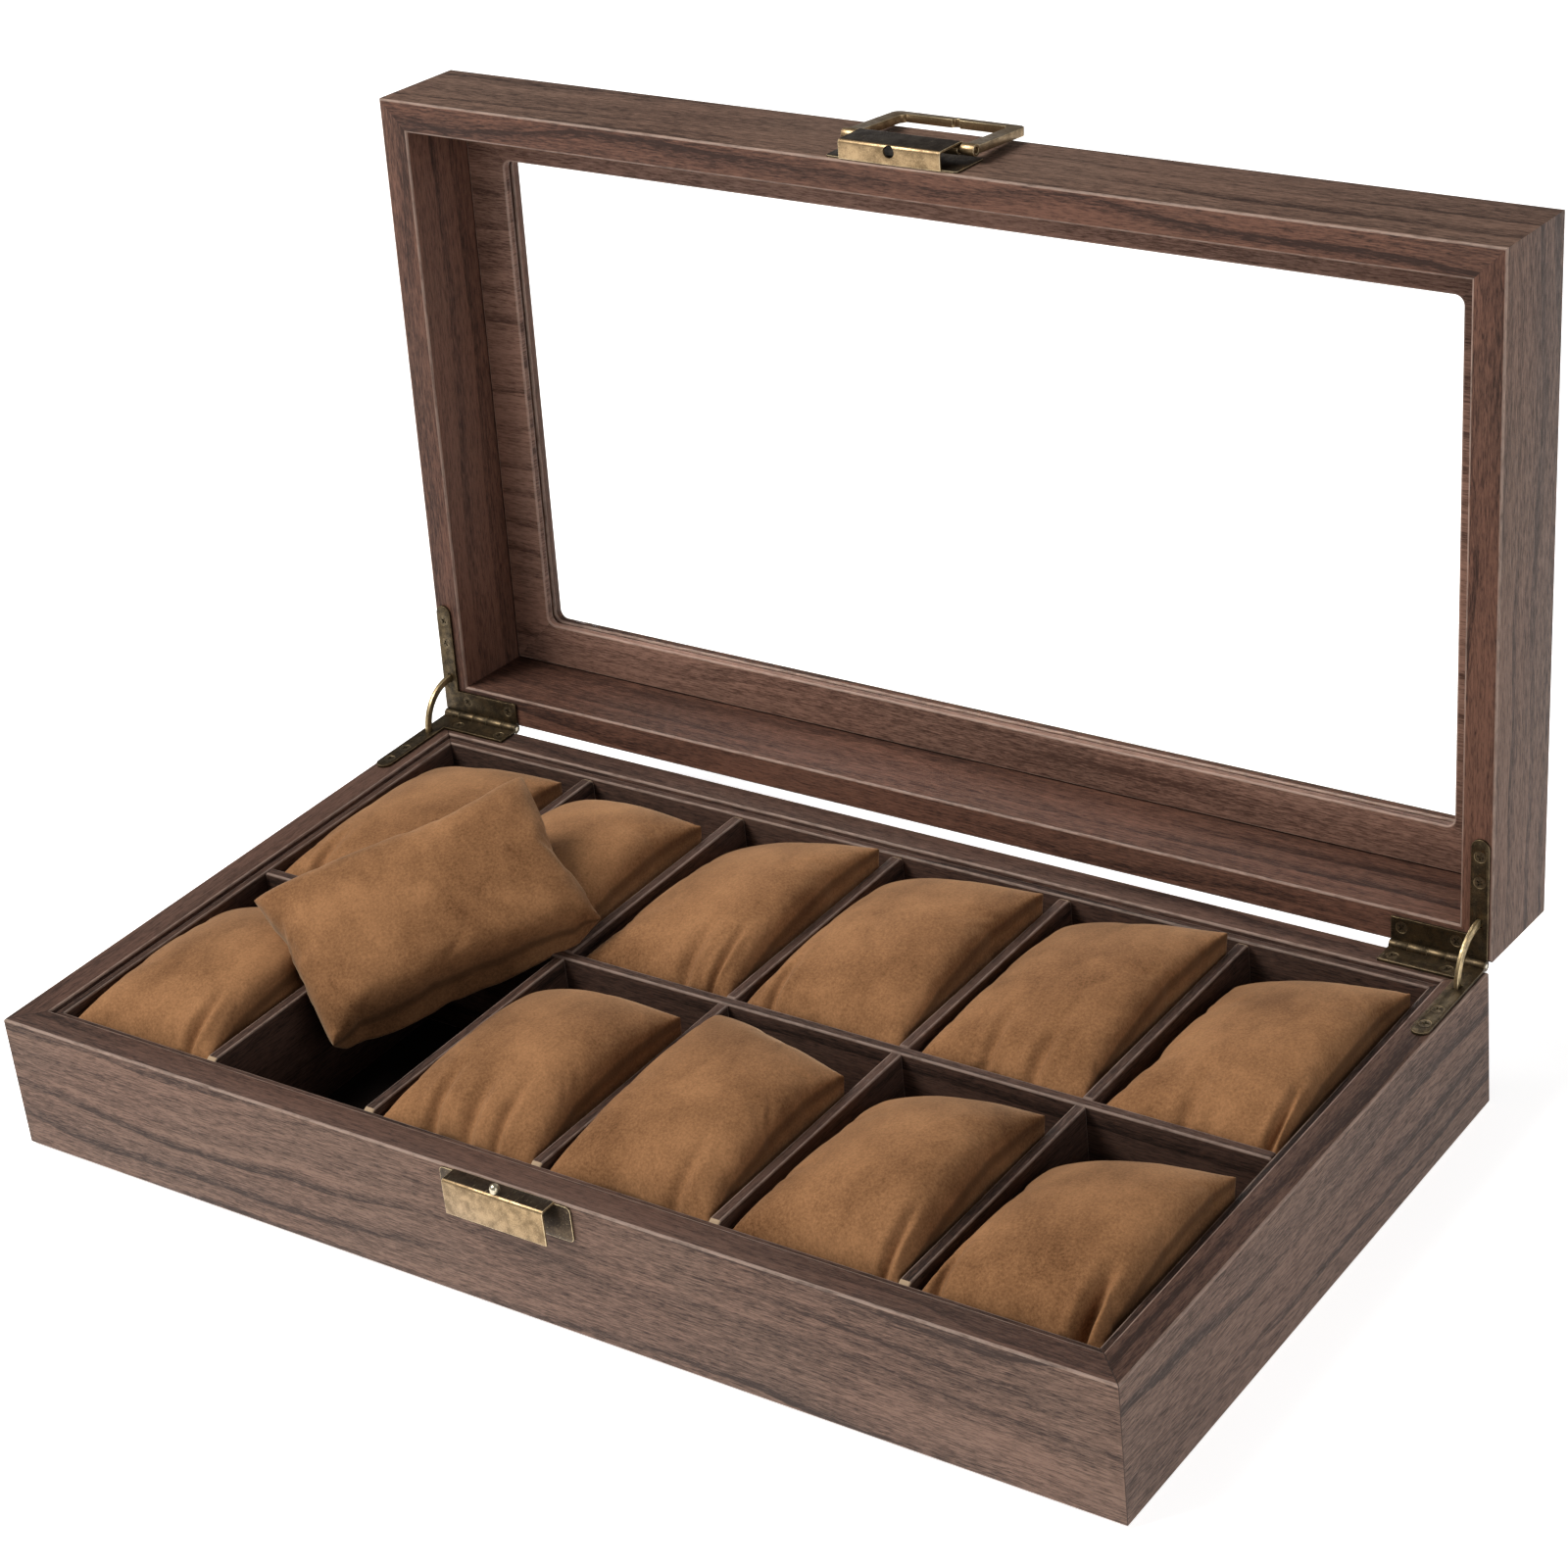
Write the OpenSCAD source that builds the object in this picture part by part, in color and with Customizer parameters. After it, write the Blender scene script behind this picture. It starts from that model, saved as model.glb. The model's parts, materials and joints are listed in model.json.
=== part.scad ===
// Watch box with a glazed lid: twelve pillows in a two-row tray, corner hinges
// with curved stays, and a bail latch. The lid stands open.
// Origin: centre of the underside. +X is the box's right, -Y its front, +Z up.

/* [Box] */
// Overall width of the box
box_w = 330; // [280:1:400]
// Depth of the box from front wall to back wall
box_d = 182; // [160:1:240]
// Height of the base, from the table to the top of its rim
base_h = 38.8; // [34:0.1:60]
// Height of the lid, from its rim to its top
lid_h = 31.5; // [28:0.1:50]
// Thickness of the outer walls of base and lid
wall = 8.6; // [8.4:0.1:11]
// Angle at which the open lid stands, counted from closed
open_angle = 93.4; // [90:0.1:100]

/* [Bottom and compartments] */
// Thickness of the felt under the box
felt_t = 0.6; // [0.4:0.1:2]
// Distance from the box's edge to the edge of the felt
felt_inset = 3; // [1:0.5:7]
// Thickness of the floor board
floor_t = 3; // [2:0.5:5]
// Thickness of the lining on the floor
lining_t = 0.8; // [0.4:0.1:2]
// Thickness of the boards that line the base inside
liner_t = 2.5; // [2:0.1:4]
// How far the lining boards and dividers stay below the rim
rim_step = 1.3; // [0.5:0.1:3]
// Thickness of the divider boards
divider_t = 3; // [2:0.1:5]
// Depth of the grooves that hold the ends of the dividers
groove_depth = 1.2; // [0.6:0.1:1.6]
// Play of a divider in its grooves and cross laps
board_play = 0.1; // [0.05:0.05:0.3]

/* [Lid window] */
// Width of the lid's border around the window
border = 20.8; // [16:0.1:35]
// Thickness of the lid's border
border_t = 3; // [2:0.1:5]
// Thickness of the glass
glass_t = 2; // [1.5:0.1:3]
// Thickness of the frame that holds the glass from inside
retainer_t = 2.5; // [1.5:0.1:4]
// Radius of the window's corners
window_r = 2.5; // [1:0.1:6]
// Play of the glass and its frame between the walls
glass_play = 0.3; // [0.1:0.1:1]

/* [Hinges and stays] */
// Thickness of a hinge leaf
leaf_t = 0.8; // [0.6:0.1:1.2]
// Space between the two leaves when the lid is closed
leaf_gap = 0.2; // [0.1:0.1:0.6]
// Distance from the box's side to the hinge
leaf_inset = 0.8; // [0.6:0.1:1.2]
// Length of the leaf's leg along the back wall
back_leg_len = 25.9; // [22:0.1:34]
// Width of the leaf's leg along the back wall, from the hinge axis
back_leg_w = 7.6; // [7:0.1:8.5]
// Length of the leaf's leg along the side wall, from the hinge axis
side_leg_len = 34; // [32:0.5:45]
// Width of the leaf's leg along the side wall
side_leg_w = 4.8; // [4.4:0.1:5.4]
// Outer radius of the hinge knuckles
knuckle_r = 1.4; // [1.3:0.05:1.6]
// Radius of the hinge pin
hinge_pin_r = 0.6; // [0.4:0.05:0.8]
// Running play between pin and knuckles
pin_play = 0.05; // [0.02:0.01:0.1]
// Distance of the hinge axis behind the back wall
axis_out = 0.6; // [0.3:0.1:0.9]
// Mean radius of the curved stay, about the hinge axis
stay_r = 11.4; // [10.5:0.1:12.5]
// Width of the stay, across its curve
stay_w = 2; // [1.6:0.1:2.4]
// Thickness of the stay
stay_t = 1; // [0.8:0.1:1.4]
// Radius of a hinge screw's head
screw_head_r = 1.5; // [1.2:0.1:1.8]
// Radius of a hinge screw's shank
screw_r = 0.7; // [0.5:0.1:0.9]
// Length of a hinge screw
screw_len = 6; // [4:0.5:8]

/* [Latch] */
// Width of the folded part of the catch and of the case
fold_w = 30; // [22:0.5:40]
// Width of the back plates of the catch and of the case
plate_w = 39; // [32:0.5:50]
// Thickness of the latch's sheet metal
sheet_t = 0.6; // [0.4:0.1:0.8]
// How far the catch and the case stand out from the wall
latch_proud = 5.3; // [5:0.1:6.5]
// Height of the catch's front plate, below the rim
catch_drop = 9.7; // [8:0.1:13]
// Height of the bail's pivot above the lid's rim
pivot_h = 9.8; // [8:0.1:12]
// Outer radius of the rolled edge that holds the bail's pin
roll_r = 1.75; // [1.5:0.05:2]
// Radius of the bail's pin
bail_pin_r = 0.8; // [0.6:0.05:1]
// Thickness of the bail
bail_t = 2.2; // [1.6:0.1:2.4]
// Width of the bail's arms
arm_w = 3.9; // [3:0.1:5]
// Width of the bail's crossbar
bar_w = 2.6; // [2:0.1:4]
// Tilt of the bail towards the lid when it is flipped back
bail_tilt = 3.5; // [2:0.1:5]
// Radius of the guide pin on the catch
guide_r = 1.3; // [1:0.1:1.6]
// Height of the guide pin
guide_h = 2.2; // [2:0.1:3]

/* [Pillows] */
// Space between a pillow and the compartment's sides
pillow_play = 0.4; // [0.3:0.1:2]
// Space between a pillow and each end of its compartment
pillow_end_play = 2; // [0.5:0.1:6]
// Height of a pillow's crest above the rim
pillow_crest = 11; // [6:0.5:14]
// How far a pillow's ends lie below its crest
pillow_end_drop = 14; // [8:0.5:20]
// How far a pillow's long sides lie below its crest
pillow_side_drop = 7; // [4:0.5:12]
// Length of the pillow that lies on top
loose_l = 76; // [60:1:85]
// Width of the pillow that lies on top
loose_w = 46; // [38:1:52]
// Thickness of the pillow that lies on top
loose_t = 25; // [18:0.5:26]
// Thickness of that pillow at its edges
loose_edge_t = 5; // [3:0.5:10]
// How far it sinks in between the crests of the pillows below it
loose_sink = 14.4; // [10:0.1:14.4]

/* [Hidden] */
$fn = 64;

// Colours
walnut = [0.36, 0.29, 0.26];
walnut_dark = [0.27, 0.20, 0.17];
velvet_dark = [0.16, 0.11, 0.09];
suede = [0.60, 0.42, 0.26];
brass = [0.42, 0.37, 0.24];
brass_light = [0.62, 0.56, 0.38];
glass = [0.85, 0.90, 0.90, 0.35];

// How far a cut runs past the faces that it opens
over = 1;

// Heights
floor_z = felt_t;
lining_z = floor_z + floor_t;
cell_floor = lining_z + lining_t;
liner_top = base_h - rim_step;
parting_gap = 2 * leaf_t + leaf_gap;
lid_z = base_h + parting_gap;
lid_top = lid_z + lid_h;
border_z = lid_top - border_t;
glass_z = border_z - glass_t;
retainer_z = glass_z - retainer_t;

// Compartments
columns = 6;
inner_w = box_w - 2 * (wall + liner_t);
inner_d = box_d - 2 * (wall + liner_t);
cell_w = (inner_w - (columns - 1) * divider_t) / columns;
cell_l = (inner_d - divider_t) / 2;
lap_z = (cell_floor + liner_top) / 2;
groove_reserve = 0.5;
function column_x(i) = -inner_w / 2 + cell_w * (i - 0.5) + divider_t * (i - 1);
function divider_x(i) = -inner_w / 2 + cell_w * i + divider_t * (i - 0.5);

// Hinges
axis_y = box_d / 2 + axis_out;
axis_z = base_h + parting_gap / 2;
knuckles = 5;
knuckle_play = 0.1;
leaf_clearance = 0.15;
knuckle_relief = 0.2;
relief_r = knuckle_r + knuckle_relief;
leg_x = leaf_inset + side_leg_w / 2;

// Screws of a leaf: two in its back leg and two near the end of its side leg
screw_play = 0.03;
screw_tip_play = 0.2;
back_screw_y = 5;
back_screw_start = 8.2;
back_screw_end = 2.9;
side_screw_end = 4.6;
side_screw_step = 7;
screw_places = [
    [leaf_inset + back_screw_start, back_screw_y],
    [leaf_inset + back_leg_len - back_screw_end, back_screw_y],
    [leg_x, side_leg_len - side_screw_end - side_screw_step],
    [leg_x, side_leg_len - side_screw_end]
];

// Curved stays: a tail below the leaf at each end, with a small head as a stop
tail_angle = 4.5;
stay_tail = asin((leaf_gap / 2 + leaf_t) / stay_r) + tail_angle;
stay_half_span = open_angle / 2 + stay_tail;
stay_in = stay_r - stay_w / 2;
stay_out = stay_r + stay_w / 2;
head_angle = 3.4;
head_depth = 0.7;
slot_play = 0.3;
pocket_play = 0.4;

// Latch
front_y = -box_d / 2;
pivot_y = latch_proud - roll_r;
arm_play = 0.7;
bail_in = fold_w / 2 + arm_play;
bail_out = bail_in + arm_w;
bail_pin_inset = 0.7;
bail_pin_end = bail_out - bail_pin_inset;
bail_hook_play = 0.3;
bail_reach = pivot_h + parting_gap + catch_drop + bail_hook_play;
bail_corner_r = 2.4;
eye_r = 1.6;
notch_r = 1.1;
ear_drop = 0.5;
catch_plate_over = 0.6;
catch_plate_h = catch_drop + catch_plate_over;
case_plate_over = 3.8;
case_plate_h = pivot_h + case_plate_over;
guide_play = 0.3;
guide_shank_r = 0.78;
guide_shank_over = 0.4;
nail_head_r = 1.1;
nail_head_t = 0.4;
nail_r = 0.6;
nail_len = 5;
nail_x = 9;
nail_z = 5;

// Pillows
soft_play = 0.3;
pillow_w = cell_w - 2 * pillow_play;
pillow_l = cell_l - 2 * pillow_end_play;
crest_z = base_h + pillow_crest;
front_row_y = -(divider_t + cell_l) / 2;
back_row_y = -front_row_y;

// The pillow on top: its tilt, roll and heading, and how far it lies from the
// middle of the empty compartment
loose_tilt = 33.4;
loose_roll = -8.9;
loose_heading = 58.6;
loose_shift_x = -6.1;
loose_shift_y = 27.1;
loose_place = [
    column_x(2) + loose_shift_x, front_row_y + loose_shift_y,
    crest_z - loose_sink + loose_t / 2 / cos(loose_tilt)
];

function arc_r(half_chord, rise) = (half_chord * half_chord + rise * rise) / (2 * rise);

module block(x0, x1, y0, y1, z0, z1) {
    translate([x0, y0, z0]) cube([x1 - x0, y1 - y0, z1 - z0]);
}

module slab(w, d, z0, z1) {
    block(-w / 2, w / 2, -d / 2, d / 2, z0, z1);
}

module rod_x(r, x0, x1) {
    translate([x0, 0, 0]) rotate([0, 90, 0]) cylinder(r = r, h = x1 - x0);
}

// The share of a frame that belongs to one side, cut at 45 degrees in the corners
module mitre(side) {
    long_run = (box_w - box_d) / 2;
    half_w = box_w / 2 + over;
    half_d = box_d / 2 + over;
    front = [[-half_w, -half_d], [half_w, -half_d], [long_run, 0], [-long_run, 0]];
    left = [[-half_w, -half_d], [-long_run, 0], [-half_w, half_d]];
    turn = (side == "back" || side == "right") ? 180 : 0;
    outline = (side == "front" || side == "back") ? front : left;
    rotate([0, 0, turn]) translate([0, 0, -over])
        linear_extrude(lid_top + 2 * over) polygon(outline);
}

// Hinge frame: on the axis at the box's side; +X inwards, +Y to the front, +Z up
module at_hinge(side) {
    translate([side * box_w / 2, axis_y, axis_z])
        if (side > 0) rotate([0, 0, 180]) children();
        else mirror([0, 1, 0]) children();
}

module swing(angle) {
    translate([0, axis_y, axis_z]) rotate([-angle, 0, 0])
        translate([0, -axis_y, -axis_z]) children();
}

module opened() {
    swing(open_angle) children();
}

// What one hinge removes from the wood below its leaf
module hinge_cuts() {
    rod_x(relief_r, 0, leaf_inset + back_leg_len + leaf_clearance);
    block(
        leg_x - stay_t / 2 - pocket_play, leg_x + stay_t / 2 + pocket_play,
        (stay_in - head_depth) * cos(stay_half_span) - pocket_play, stay_out + pocket_play,
        -stay_out * sin(stay_half_span) - pocket_play, 0
    );
    for (p = screw_places)
        translate([p[0], p[1], -screw_len - leaf_gap / 2 - screw_tip_play])
            cylinder(r = screw_r + screw_play, h = screw_len);
}

module both_hinges() {
    for (side = [-1, 1]) at_hinge(side) children();
}

module nail_holes(z) {
    for (s = [-1, 1])
        translate([s * nail_x, front_y - over, z]) rotate([-90, 0, 0])
            cylinder(r = nail_r + screw_play, h = nail_len + over);
}

module base_wall(side) {
    color(walnut) difference() {
        intersection() {
            difference() {
                slab(box_w, box_d, floor_z, base_h);
                slab(box_w - 2 * wall, box_d - 2 * wall, floor_z - over, base_h + over);
            }
            mitre(side);
        }
        if (side == "front") nail_holes(base_h - nail_z);
        else both_hinges() hinge_cuts();
    }
}

module base_floor() {
    color(walnut_dark) slab(box_w - 2 * wall, box_d - 2 * wall, floor_z, lining_z);
}

module floor_lining() {
    color(velvet_dark) slab(inner_w, inner_d, lining_z, cell_floor);
}

module underside_felt() {
    color(velvet_dark) slab(box_w - 2 * felt_inset, box_d - 2 * felt_inset, 0, felt_t);
}

// The room that a divider board takes, with some play at its faces and ends and a
// reserve below and above it
module cross_room(i, play, reserve) {
    block(
        divider_x(i) - divider_t / 2 - play, divider_x(i) + divider_t / 2 + play,
        -inner_d / 2 - groove_depth + board_play - play,
        inner_d / 2 + groove_depth - board_play + play,
        cell_floor - reserve, liner_top + reserve
    );
}

module long_room(play, reserve) {
    block(
        -inner_w / 2 - groove_depth + board_play - play,
        inner_w / 2 + groove_depth - board_play + play,
        -divider_t / 2 - play, divider_t / 2 + play,
        cell_floor - reserve, liner_top + reserve
    );
}

module liner(side) {
    color(walnut_dark) difference() {
        intersection() {
            difference() {
                slab(box_w - 2 * wall, box_d - 2 * wall, lining_z, liner_top);
                slab(inner_w, inner_d, lining_z - over, liner_top + over);
            }
            mitre(side);
        }
        long_room(board_play, groove_reserve);
        for (i = [1 : columns - 1]) cross_room(i, board_play, groove_reserve);
    }
}

module long_divider() {
    color(walnut) difference() {
        long_room(0, 0);
        for (i = [1 : columns - 1])
            block(
                divider_x(i) - divider_t / 2 - board_play,
                divider_x(i) + divider_t / 2 + board_play,
                -divider_t, divider_t, cell_floor - over, lap_z
            );
    }
}

module cross_divider(i) {
    color(walnut) difference() {
        cross_room(i, 0, 0);
        block(
            divider_x(i) - divider_t, divider_x(i) + divider_t,
            -divider_t / 2 - board_play, divider_t / 2 + board_play,
            lap_z, liner_top + over
        );
    }
}

// One leaf, lying below the axis; first_knuckle says which knuckles are its own
module hinge_leaf(first_knuckle) {
    knuckle_len = back_leg_len / knuckles;
    leaf_z = -leaf_gap / 2 - leaf_t;
    color(brass) difference() {
        union() {
            block(
                leaf_inset, leaf_inset + back_leg_len, 0, back_leg_w, leaf_z, -leaf_gap / 2
            );
            block(
                leaf_inset, leaf_inset + side_leg_w,
                0, side_leg_len - side_leg_w / 2, leaf_z, -leaf_gap / 2
            );
            translate([leg_x, side_leg_len - side_leg_w / 2, leaf_z])
                cylinder(d = side_leg_w, h = leaf_t);
            for (k = [first_knuckle : 2 : knuckles - 1])
                rod_x(
                    knuckle_r,
                    leaf_inset + k * knuckle_len + knuckle_play / 2,
                    leaf_inset + (k + 1) * knuckle_len - knuckle_play / 2
                );
        }
        for (k = [1 - first_knuckle : 2 : knuckles - 1])
            rod_x(
                knuckle_r + leaf_clearance,
                leaf_inset + k * knuckle_len - knuckle_play / 2,
                leaf_inset + (k + 1) * knuckle_len + knuckle_play / 2
            );
        rod_x(hinge_pin_r + pin_play, 0, leaf_inset + back_leg_len + over);
        block(
            leg_x - stay_t / 2 - slot_play, leg_x + stay_t / 2 + slot_play,
            stay_in - slot_play, stay_out + slot_play, leaf_z - over, 0
        );
        for (p = screw_places) translate([p[0], p[1], leaf_z]) {
            translate([0, 0, -over]) cylinder(r = screw_r + pin_play, h = leaf_t + 2 * over);
            cylinder(r1 = screw_r + pin_play, r2 = screw_head_r + pin_play, h = leaf_t);
        }
    }
}

module hinge_pin() {
    color(brass_light)
        rod_x(hinge_pin_r, leaf_inset, leaf_inset + back_leg_len);
}

module hinge_screws() {
    color(brass_light) both_hinges()
        for (p = screw_places) translate([p[0], p[1], -leaf_gap / 2 - leaf_t]) {
            cylinder(r1 = screw_r, r2 = screw_head_r, h = leaf_t);
            translate([0, 0, leaf_t - screw_len]) cylinder(r = screw_r, h = screw_len - leaf_t);
        }
}

// A ring segment about the hinge axis, counted from the front upwards
module stay_arc(r0, r1, from_angle, to_angle) {
    translate([leg_x, 0, 0]) rotate([90, 0, 90]) rotate([0, 0, from_angle])
        rotate_extrude(angle = to_angle - from_angle)
            translate([r0, -stay_t / 2]) square([r1 - r0, stay_t]);
}

module hinge_stay(side) {
    low = open_angle / 2 - stay_half_span;
    high = open_angle / 2 + stay_half_span;
    color(brass_light) at_hinge(side) {
        stay_arc(stay_in, stay_out, low, high);
        stay_arc(stay_in - head_depth, stay_out, low, low + head_angle);
        stay_arc(stay_in - head_depth, stay_out, high - head_angle, high);
    }
}

// Sheet folded from a back plate over a ledge into a front plate.
// +Y stands out from the wall, +Z runs away from the parting line.
module folded_sheet(front_h, back_h) {
    block(-plate_w / 2, plate_w / 2, 0, sheet_t, ear_drop, back_h);
    block(-fold_w / 2, fold_w / 2, 0, latch_proud, 0, sheet_t);
    block(-fold_w / 2, fold_w / 2, latch_proud - sheet_t, latch_proud, 0, front_h);
}

module plate_nail_holes() {
    for (s = [-1, 1])
        translate([s * nail_x, -over, nail_z]) rotate([-90, 0, 0])
            cylinder(r = nail_r + screw_play, h = sheet_t + 2 * over);
}

module at_catch() {
    translate([0, front_y, base_h]) rotate([180, 0, 0]) children();
}

module at_case() {
    translate([0, front_y, lid_z]) mirror([0, 1, 0]) children();
}

module latch_catch() {
    color(brass) at_catch() difference() {
        folded_sheet(catch_drop, catch_plate_h);
        plate_nail_holes();
        translate([0, pivot_y, -over])
            cylinder(r = guide_shank_r + screw_play, h = sheet_t + 2 * over);
    }
}

module latch_guide_pin() {
    straight = guide_h - guide_r;
    color(brass_light) translate([0, front_y - pivot_y, base_h]) {
        translate([0, 0, -sheet_t - guide_shank_over])
            cylinder(r = guide_shank_r, h = sheet_t + guide_shank_over + straight);
        cylinder(r = guide_r, h = straight);
        intersection() {
            translate([0, 0, straight]) sphere(r = guide_r);
            cylinder(r = guide_r * 2, h = guide_h * 2);
        }
    }
}

module nails() {
    for (s = [-1, 1])
        translate([s * nail_x, 0, nail_z]) rotate([90, 0, 0]) {
            translate([0, 0, -sheet_t - nail_head_t]) cylinder(r = nail_head_r, h = nail_head_t);
            translate([0, 0, -sheet_t]) cylinder(r = nail_r, h = nail_len);
        }
}

module latch_case() {
    color(brass) at_case() difference() {
        union() {
            folded_sheet(pivot_h, case_plate_h);
            translate([0, pivot_y, pivot_h]) rod_x(roll_r, -fold_w / 2, fold_w / 2);
        }
        translate([0, pivot_y, pivot_h])
            rod_x(bail_pin_r + screw_play, -fold_w, fold_w);
        translate([0, pivot_y, -over])
            cylinder(r = guide_r + guide_play, h = sheet_t + 2 * over);
        plate_nail_holes();
    }
}

module latch_bail_pin() {
    color(brass_light) at_case() translate([0, pivot_y, pivot_h])
        rod_x(bail_pin_r, -bail_pin_end, bail_pin_end);
}

// The bail about its pin, with its crossbar above
module bail_form() {
    outer = bail_reach + bar_w;
    difference() {
        union() {
            for (s = [-1, 1]) {
                block(
                    s > 0 ? bail_in : -bail_out, s > 0 ? bail_out : -bail_in,
                    -bail_t / 2, bail_t / 2, 0, outer - bail_corner_r
                );
                rod_x(eye_r, s > 0 ? bail_in : -bail_out, s > 0 ? bail_out : -bail_in);
                translate([s * (bail_out - bail_corner_r), bail_t / 2, outer - bail_corner_r])
                    rotate([90, 0, 0]) cylinder(r = bail_corner_r, h = bail_t);
            }
            block(
                -bail_out + bail_corner_r, bail_out - bail_corner_r,
                -bail_t / 2, bail_t / 2, bail_reach, outer
            );
        }
        rod_x(bail_pin_r + pin_play, -bail_out - over, bail_out + over);
        translate([0, bail_t, bail_reach]) rotate([90, 0, 0])
            cylinder(r = notch_r, h = 2 * bail_t);
    }
}

module latch_bail() {
    color(brass) at_case() translate([0, pivot_y, pivot_h])
        rotate([bail_tilt, 0, 0]) bail_form();
}

module window_cut() {
    half_x = box_w / 2 - border - window_r;
    half_y = box_d / 2 - border - window_r;
    top = lid_top + over;
    slab(2 * half_x, 2 * (half_y + window_r), lid_z, top);
    slab(2 * (half_x + window_r), 2 * half_y, lid_z, top);
    for (sx = [-1, 1], sy = [-1, 1])
        translate([sx * half_x, sy * half_y, lid_z]) cylinder(r = window_r, h = top - lid_z);
}

module lid_rail(side) {
    color(walnut) difference() {
        intersection() {
            slab(box_w, box_d, lid_z, lid_top);
            mitre(side);
        }
        slab(box_w - 2 * wall, box_d - 2 * wall, lid_z - over, border_z);
        window_cut();
        if (side == "front") nail_holes(lid_z + nail_z);
        else both_hinges() mirror([0, 0, 1]) hinge_cuts();
    }
}

module glass_pane() {
    play = wall + glass_play;
    color(glass) slab(box_w - 2 * play, box_d - 2 * play, glass_z, border_z);
}

module glass_retainer() {
    play = wall + glass_play;
    color(walnut_dark) difference() {
        slab(box_w - 2 * play, box_d - 2 * play, retainer_z, glass_z);
        window_cut();
    }
}

// A pillow in its compartment, arched along its length and across
module slot_pillow(column, row_y) {
    bottom = cell_floor + soft_play;
    arch_r = arc_r(pillow_l / 2, pillow_end_drop);
    cross_r = arc_r(pillow_w / 2, pillow_side_drop);
    color(suede) translate([column_x(column), row_y, 0]) intersection() {
        slab(pillow_w, pillow_l, bottom, crest_z + over);
        translate([0, 0, crest_z - arch_r]) rod_x(arch_r, -pillow_w, pillow_w);
        translate([0, pillow_l, crest_z - cross_r]) rotate([90, 0, 0])
            cylinder(r = cross_r, h = 2 * pillow_l);
    }
}

// The pillow on top: a lens-shaped cushion, thinner at its four edges
module loose_pillow() {
    bulge = (loose_t - loose_edge_t) / 2;
    long_r = arc_r(loose_l / 2, bulge);
    wide_r = arc_r(loose_w / 2, bulge);
    color(suede) translate(loose_place) rotate([loose_tilt, loose_roll, loose_heading])
        intersection() {
            slab(loose_l, loose_w, -loose_t, loose_t);
            between_faces(long_r) rotate([90, 0, 0])
                translate([0, 0, -loose_w]) cylinder(r = long_r, h = 2 * loose_w);
            between_faces(wide_r) rod_x(wide_r, -loose_l, loose_l);
        }
}

// The room between two equal curved faces, one above and one below
module between_faces(r) {
    intersection() {
        translate([0, 0, loose_t / 2 - r]) children();
        translate([0, 0, r - loose_t / 2]) children();
    }
}

base_wall("front");  // base_front_wall
base_wall("back");  // base_back_wall
base_wall("left");  // base_left_wall
base_wall("right");  // base_right_wall
base_floor();
floor_lining();
underside_felt();
liner("front");  // liner_front
liner("back");  // liner_back
liner("left");  // liner_left
liner("right");  // liner_right
long_divider();
cross_divider(1);  // cross_divider_1
cross_divider(2);  // cross_divider_2
cross_divider(3);  // cross_divider_3
cross_divider(4);  // cross_divider_4
cross_divider(5);  // cross_divider_5
at_hinge(-1) hinge_leaf(0);  // hinge_base_leaf_left
at_hinge(1) hinge_leaf(0);  // hinge_base_leaf_right
at_hinge(-1) hinge_pin();  // hinge_pin_left
at_hinge(1) hinge_pin();  // hinge_pin_right
hinge_screws();  // hinge_screws_base
latch_catch();
latch_guide_pin();
color(brass_light) at_catch() nails();  // latch_catch_nails
opened() lid_rail("front");  // lid_front_rail
opened() lid_rail("back");  // lid_back_rail
opened() lid_rail("left");  // lid_left_rail
opened() lid_rail("right");  // lid_right_rail
opened() glass_pane();
opened() glass_retainer();
opened() at_hinge(-1) mirror([0, 0, 1]) hinge_leaf(1);  // hinge_lid_leaf_left
opened() at_hinge(1) mirror([0, 0, 1]) hinge_leaf(1);  // hinge_lid_leaf_right
opened() translate([0, 0, 2 * axis_z]) mirror([0, 0, 1]) hinge_screws();  // hinge_screws_lid
opened() latch_case();
opened() latch_bail_pin();
color(brass_light) opened() at_case() nails();  // latch_case_nails
hinge_stay(-1);  // hinge_stay_left
hinge_stay(1);  // hinge_stay_right
opened() latch_bail();
slot_pillow(1, front_row_y);  // pillow_front_1
slot_pillow(3, front_row_y);  // pillow_front_3
slot_pillow(4, front_row_y);  // pillow_front_4
slot_pillow(5, front_row_y);  // pillow_front_5
slot_pillow(6, front_row_y);  // pillow_front_6
slot_pillow(1, back_row_y);  // pillow_back_1
slot_pillow(2, back_row_y);  // pillow_back_2
slot_pillow(3, back_row_y);  // pillow_back_3
slot_pillow(4, back_row_y);  // pillow_back_4
slot_pillow(5, back_row_y);  // pillow_back_5
slot_pillow(6, back_row_y);  // pillow_back_6
loose_pillow();  // pillow_loose
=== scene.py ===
import json
import math

import bmesh
import bpy
import numpy as np
from mathutils import Matrix, Vector


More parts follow.
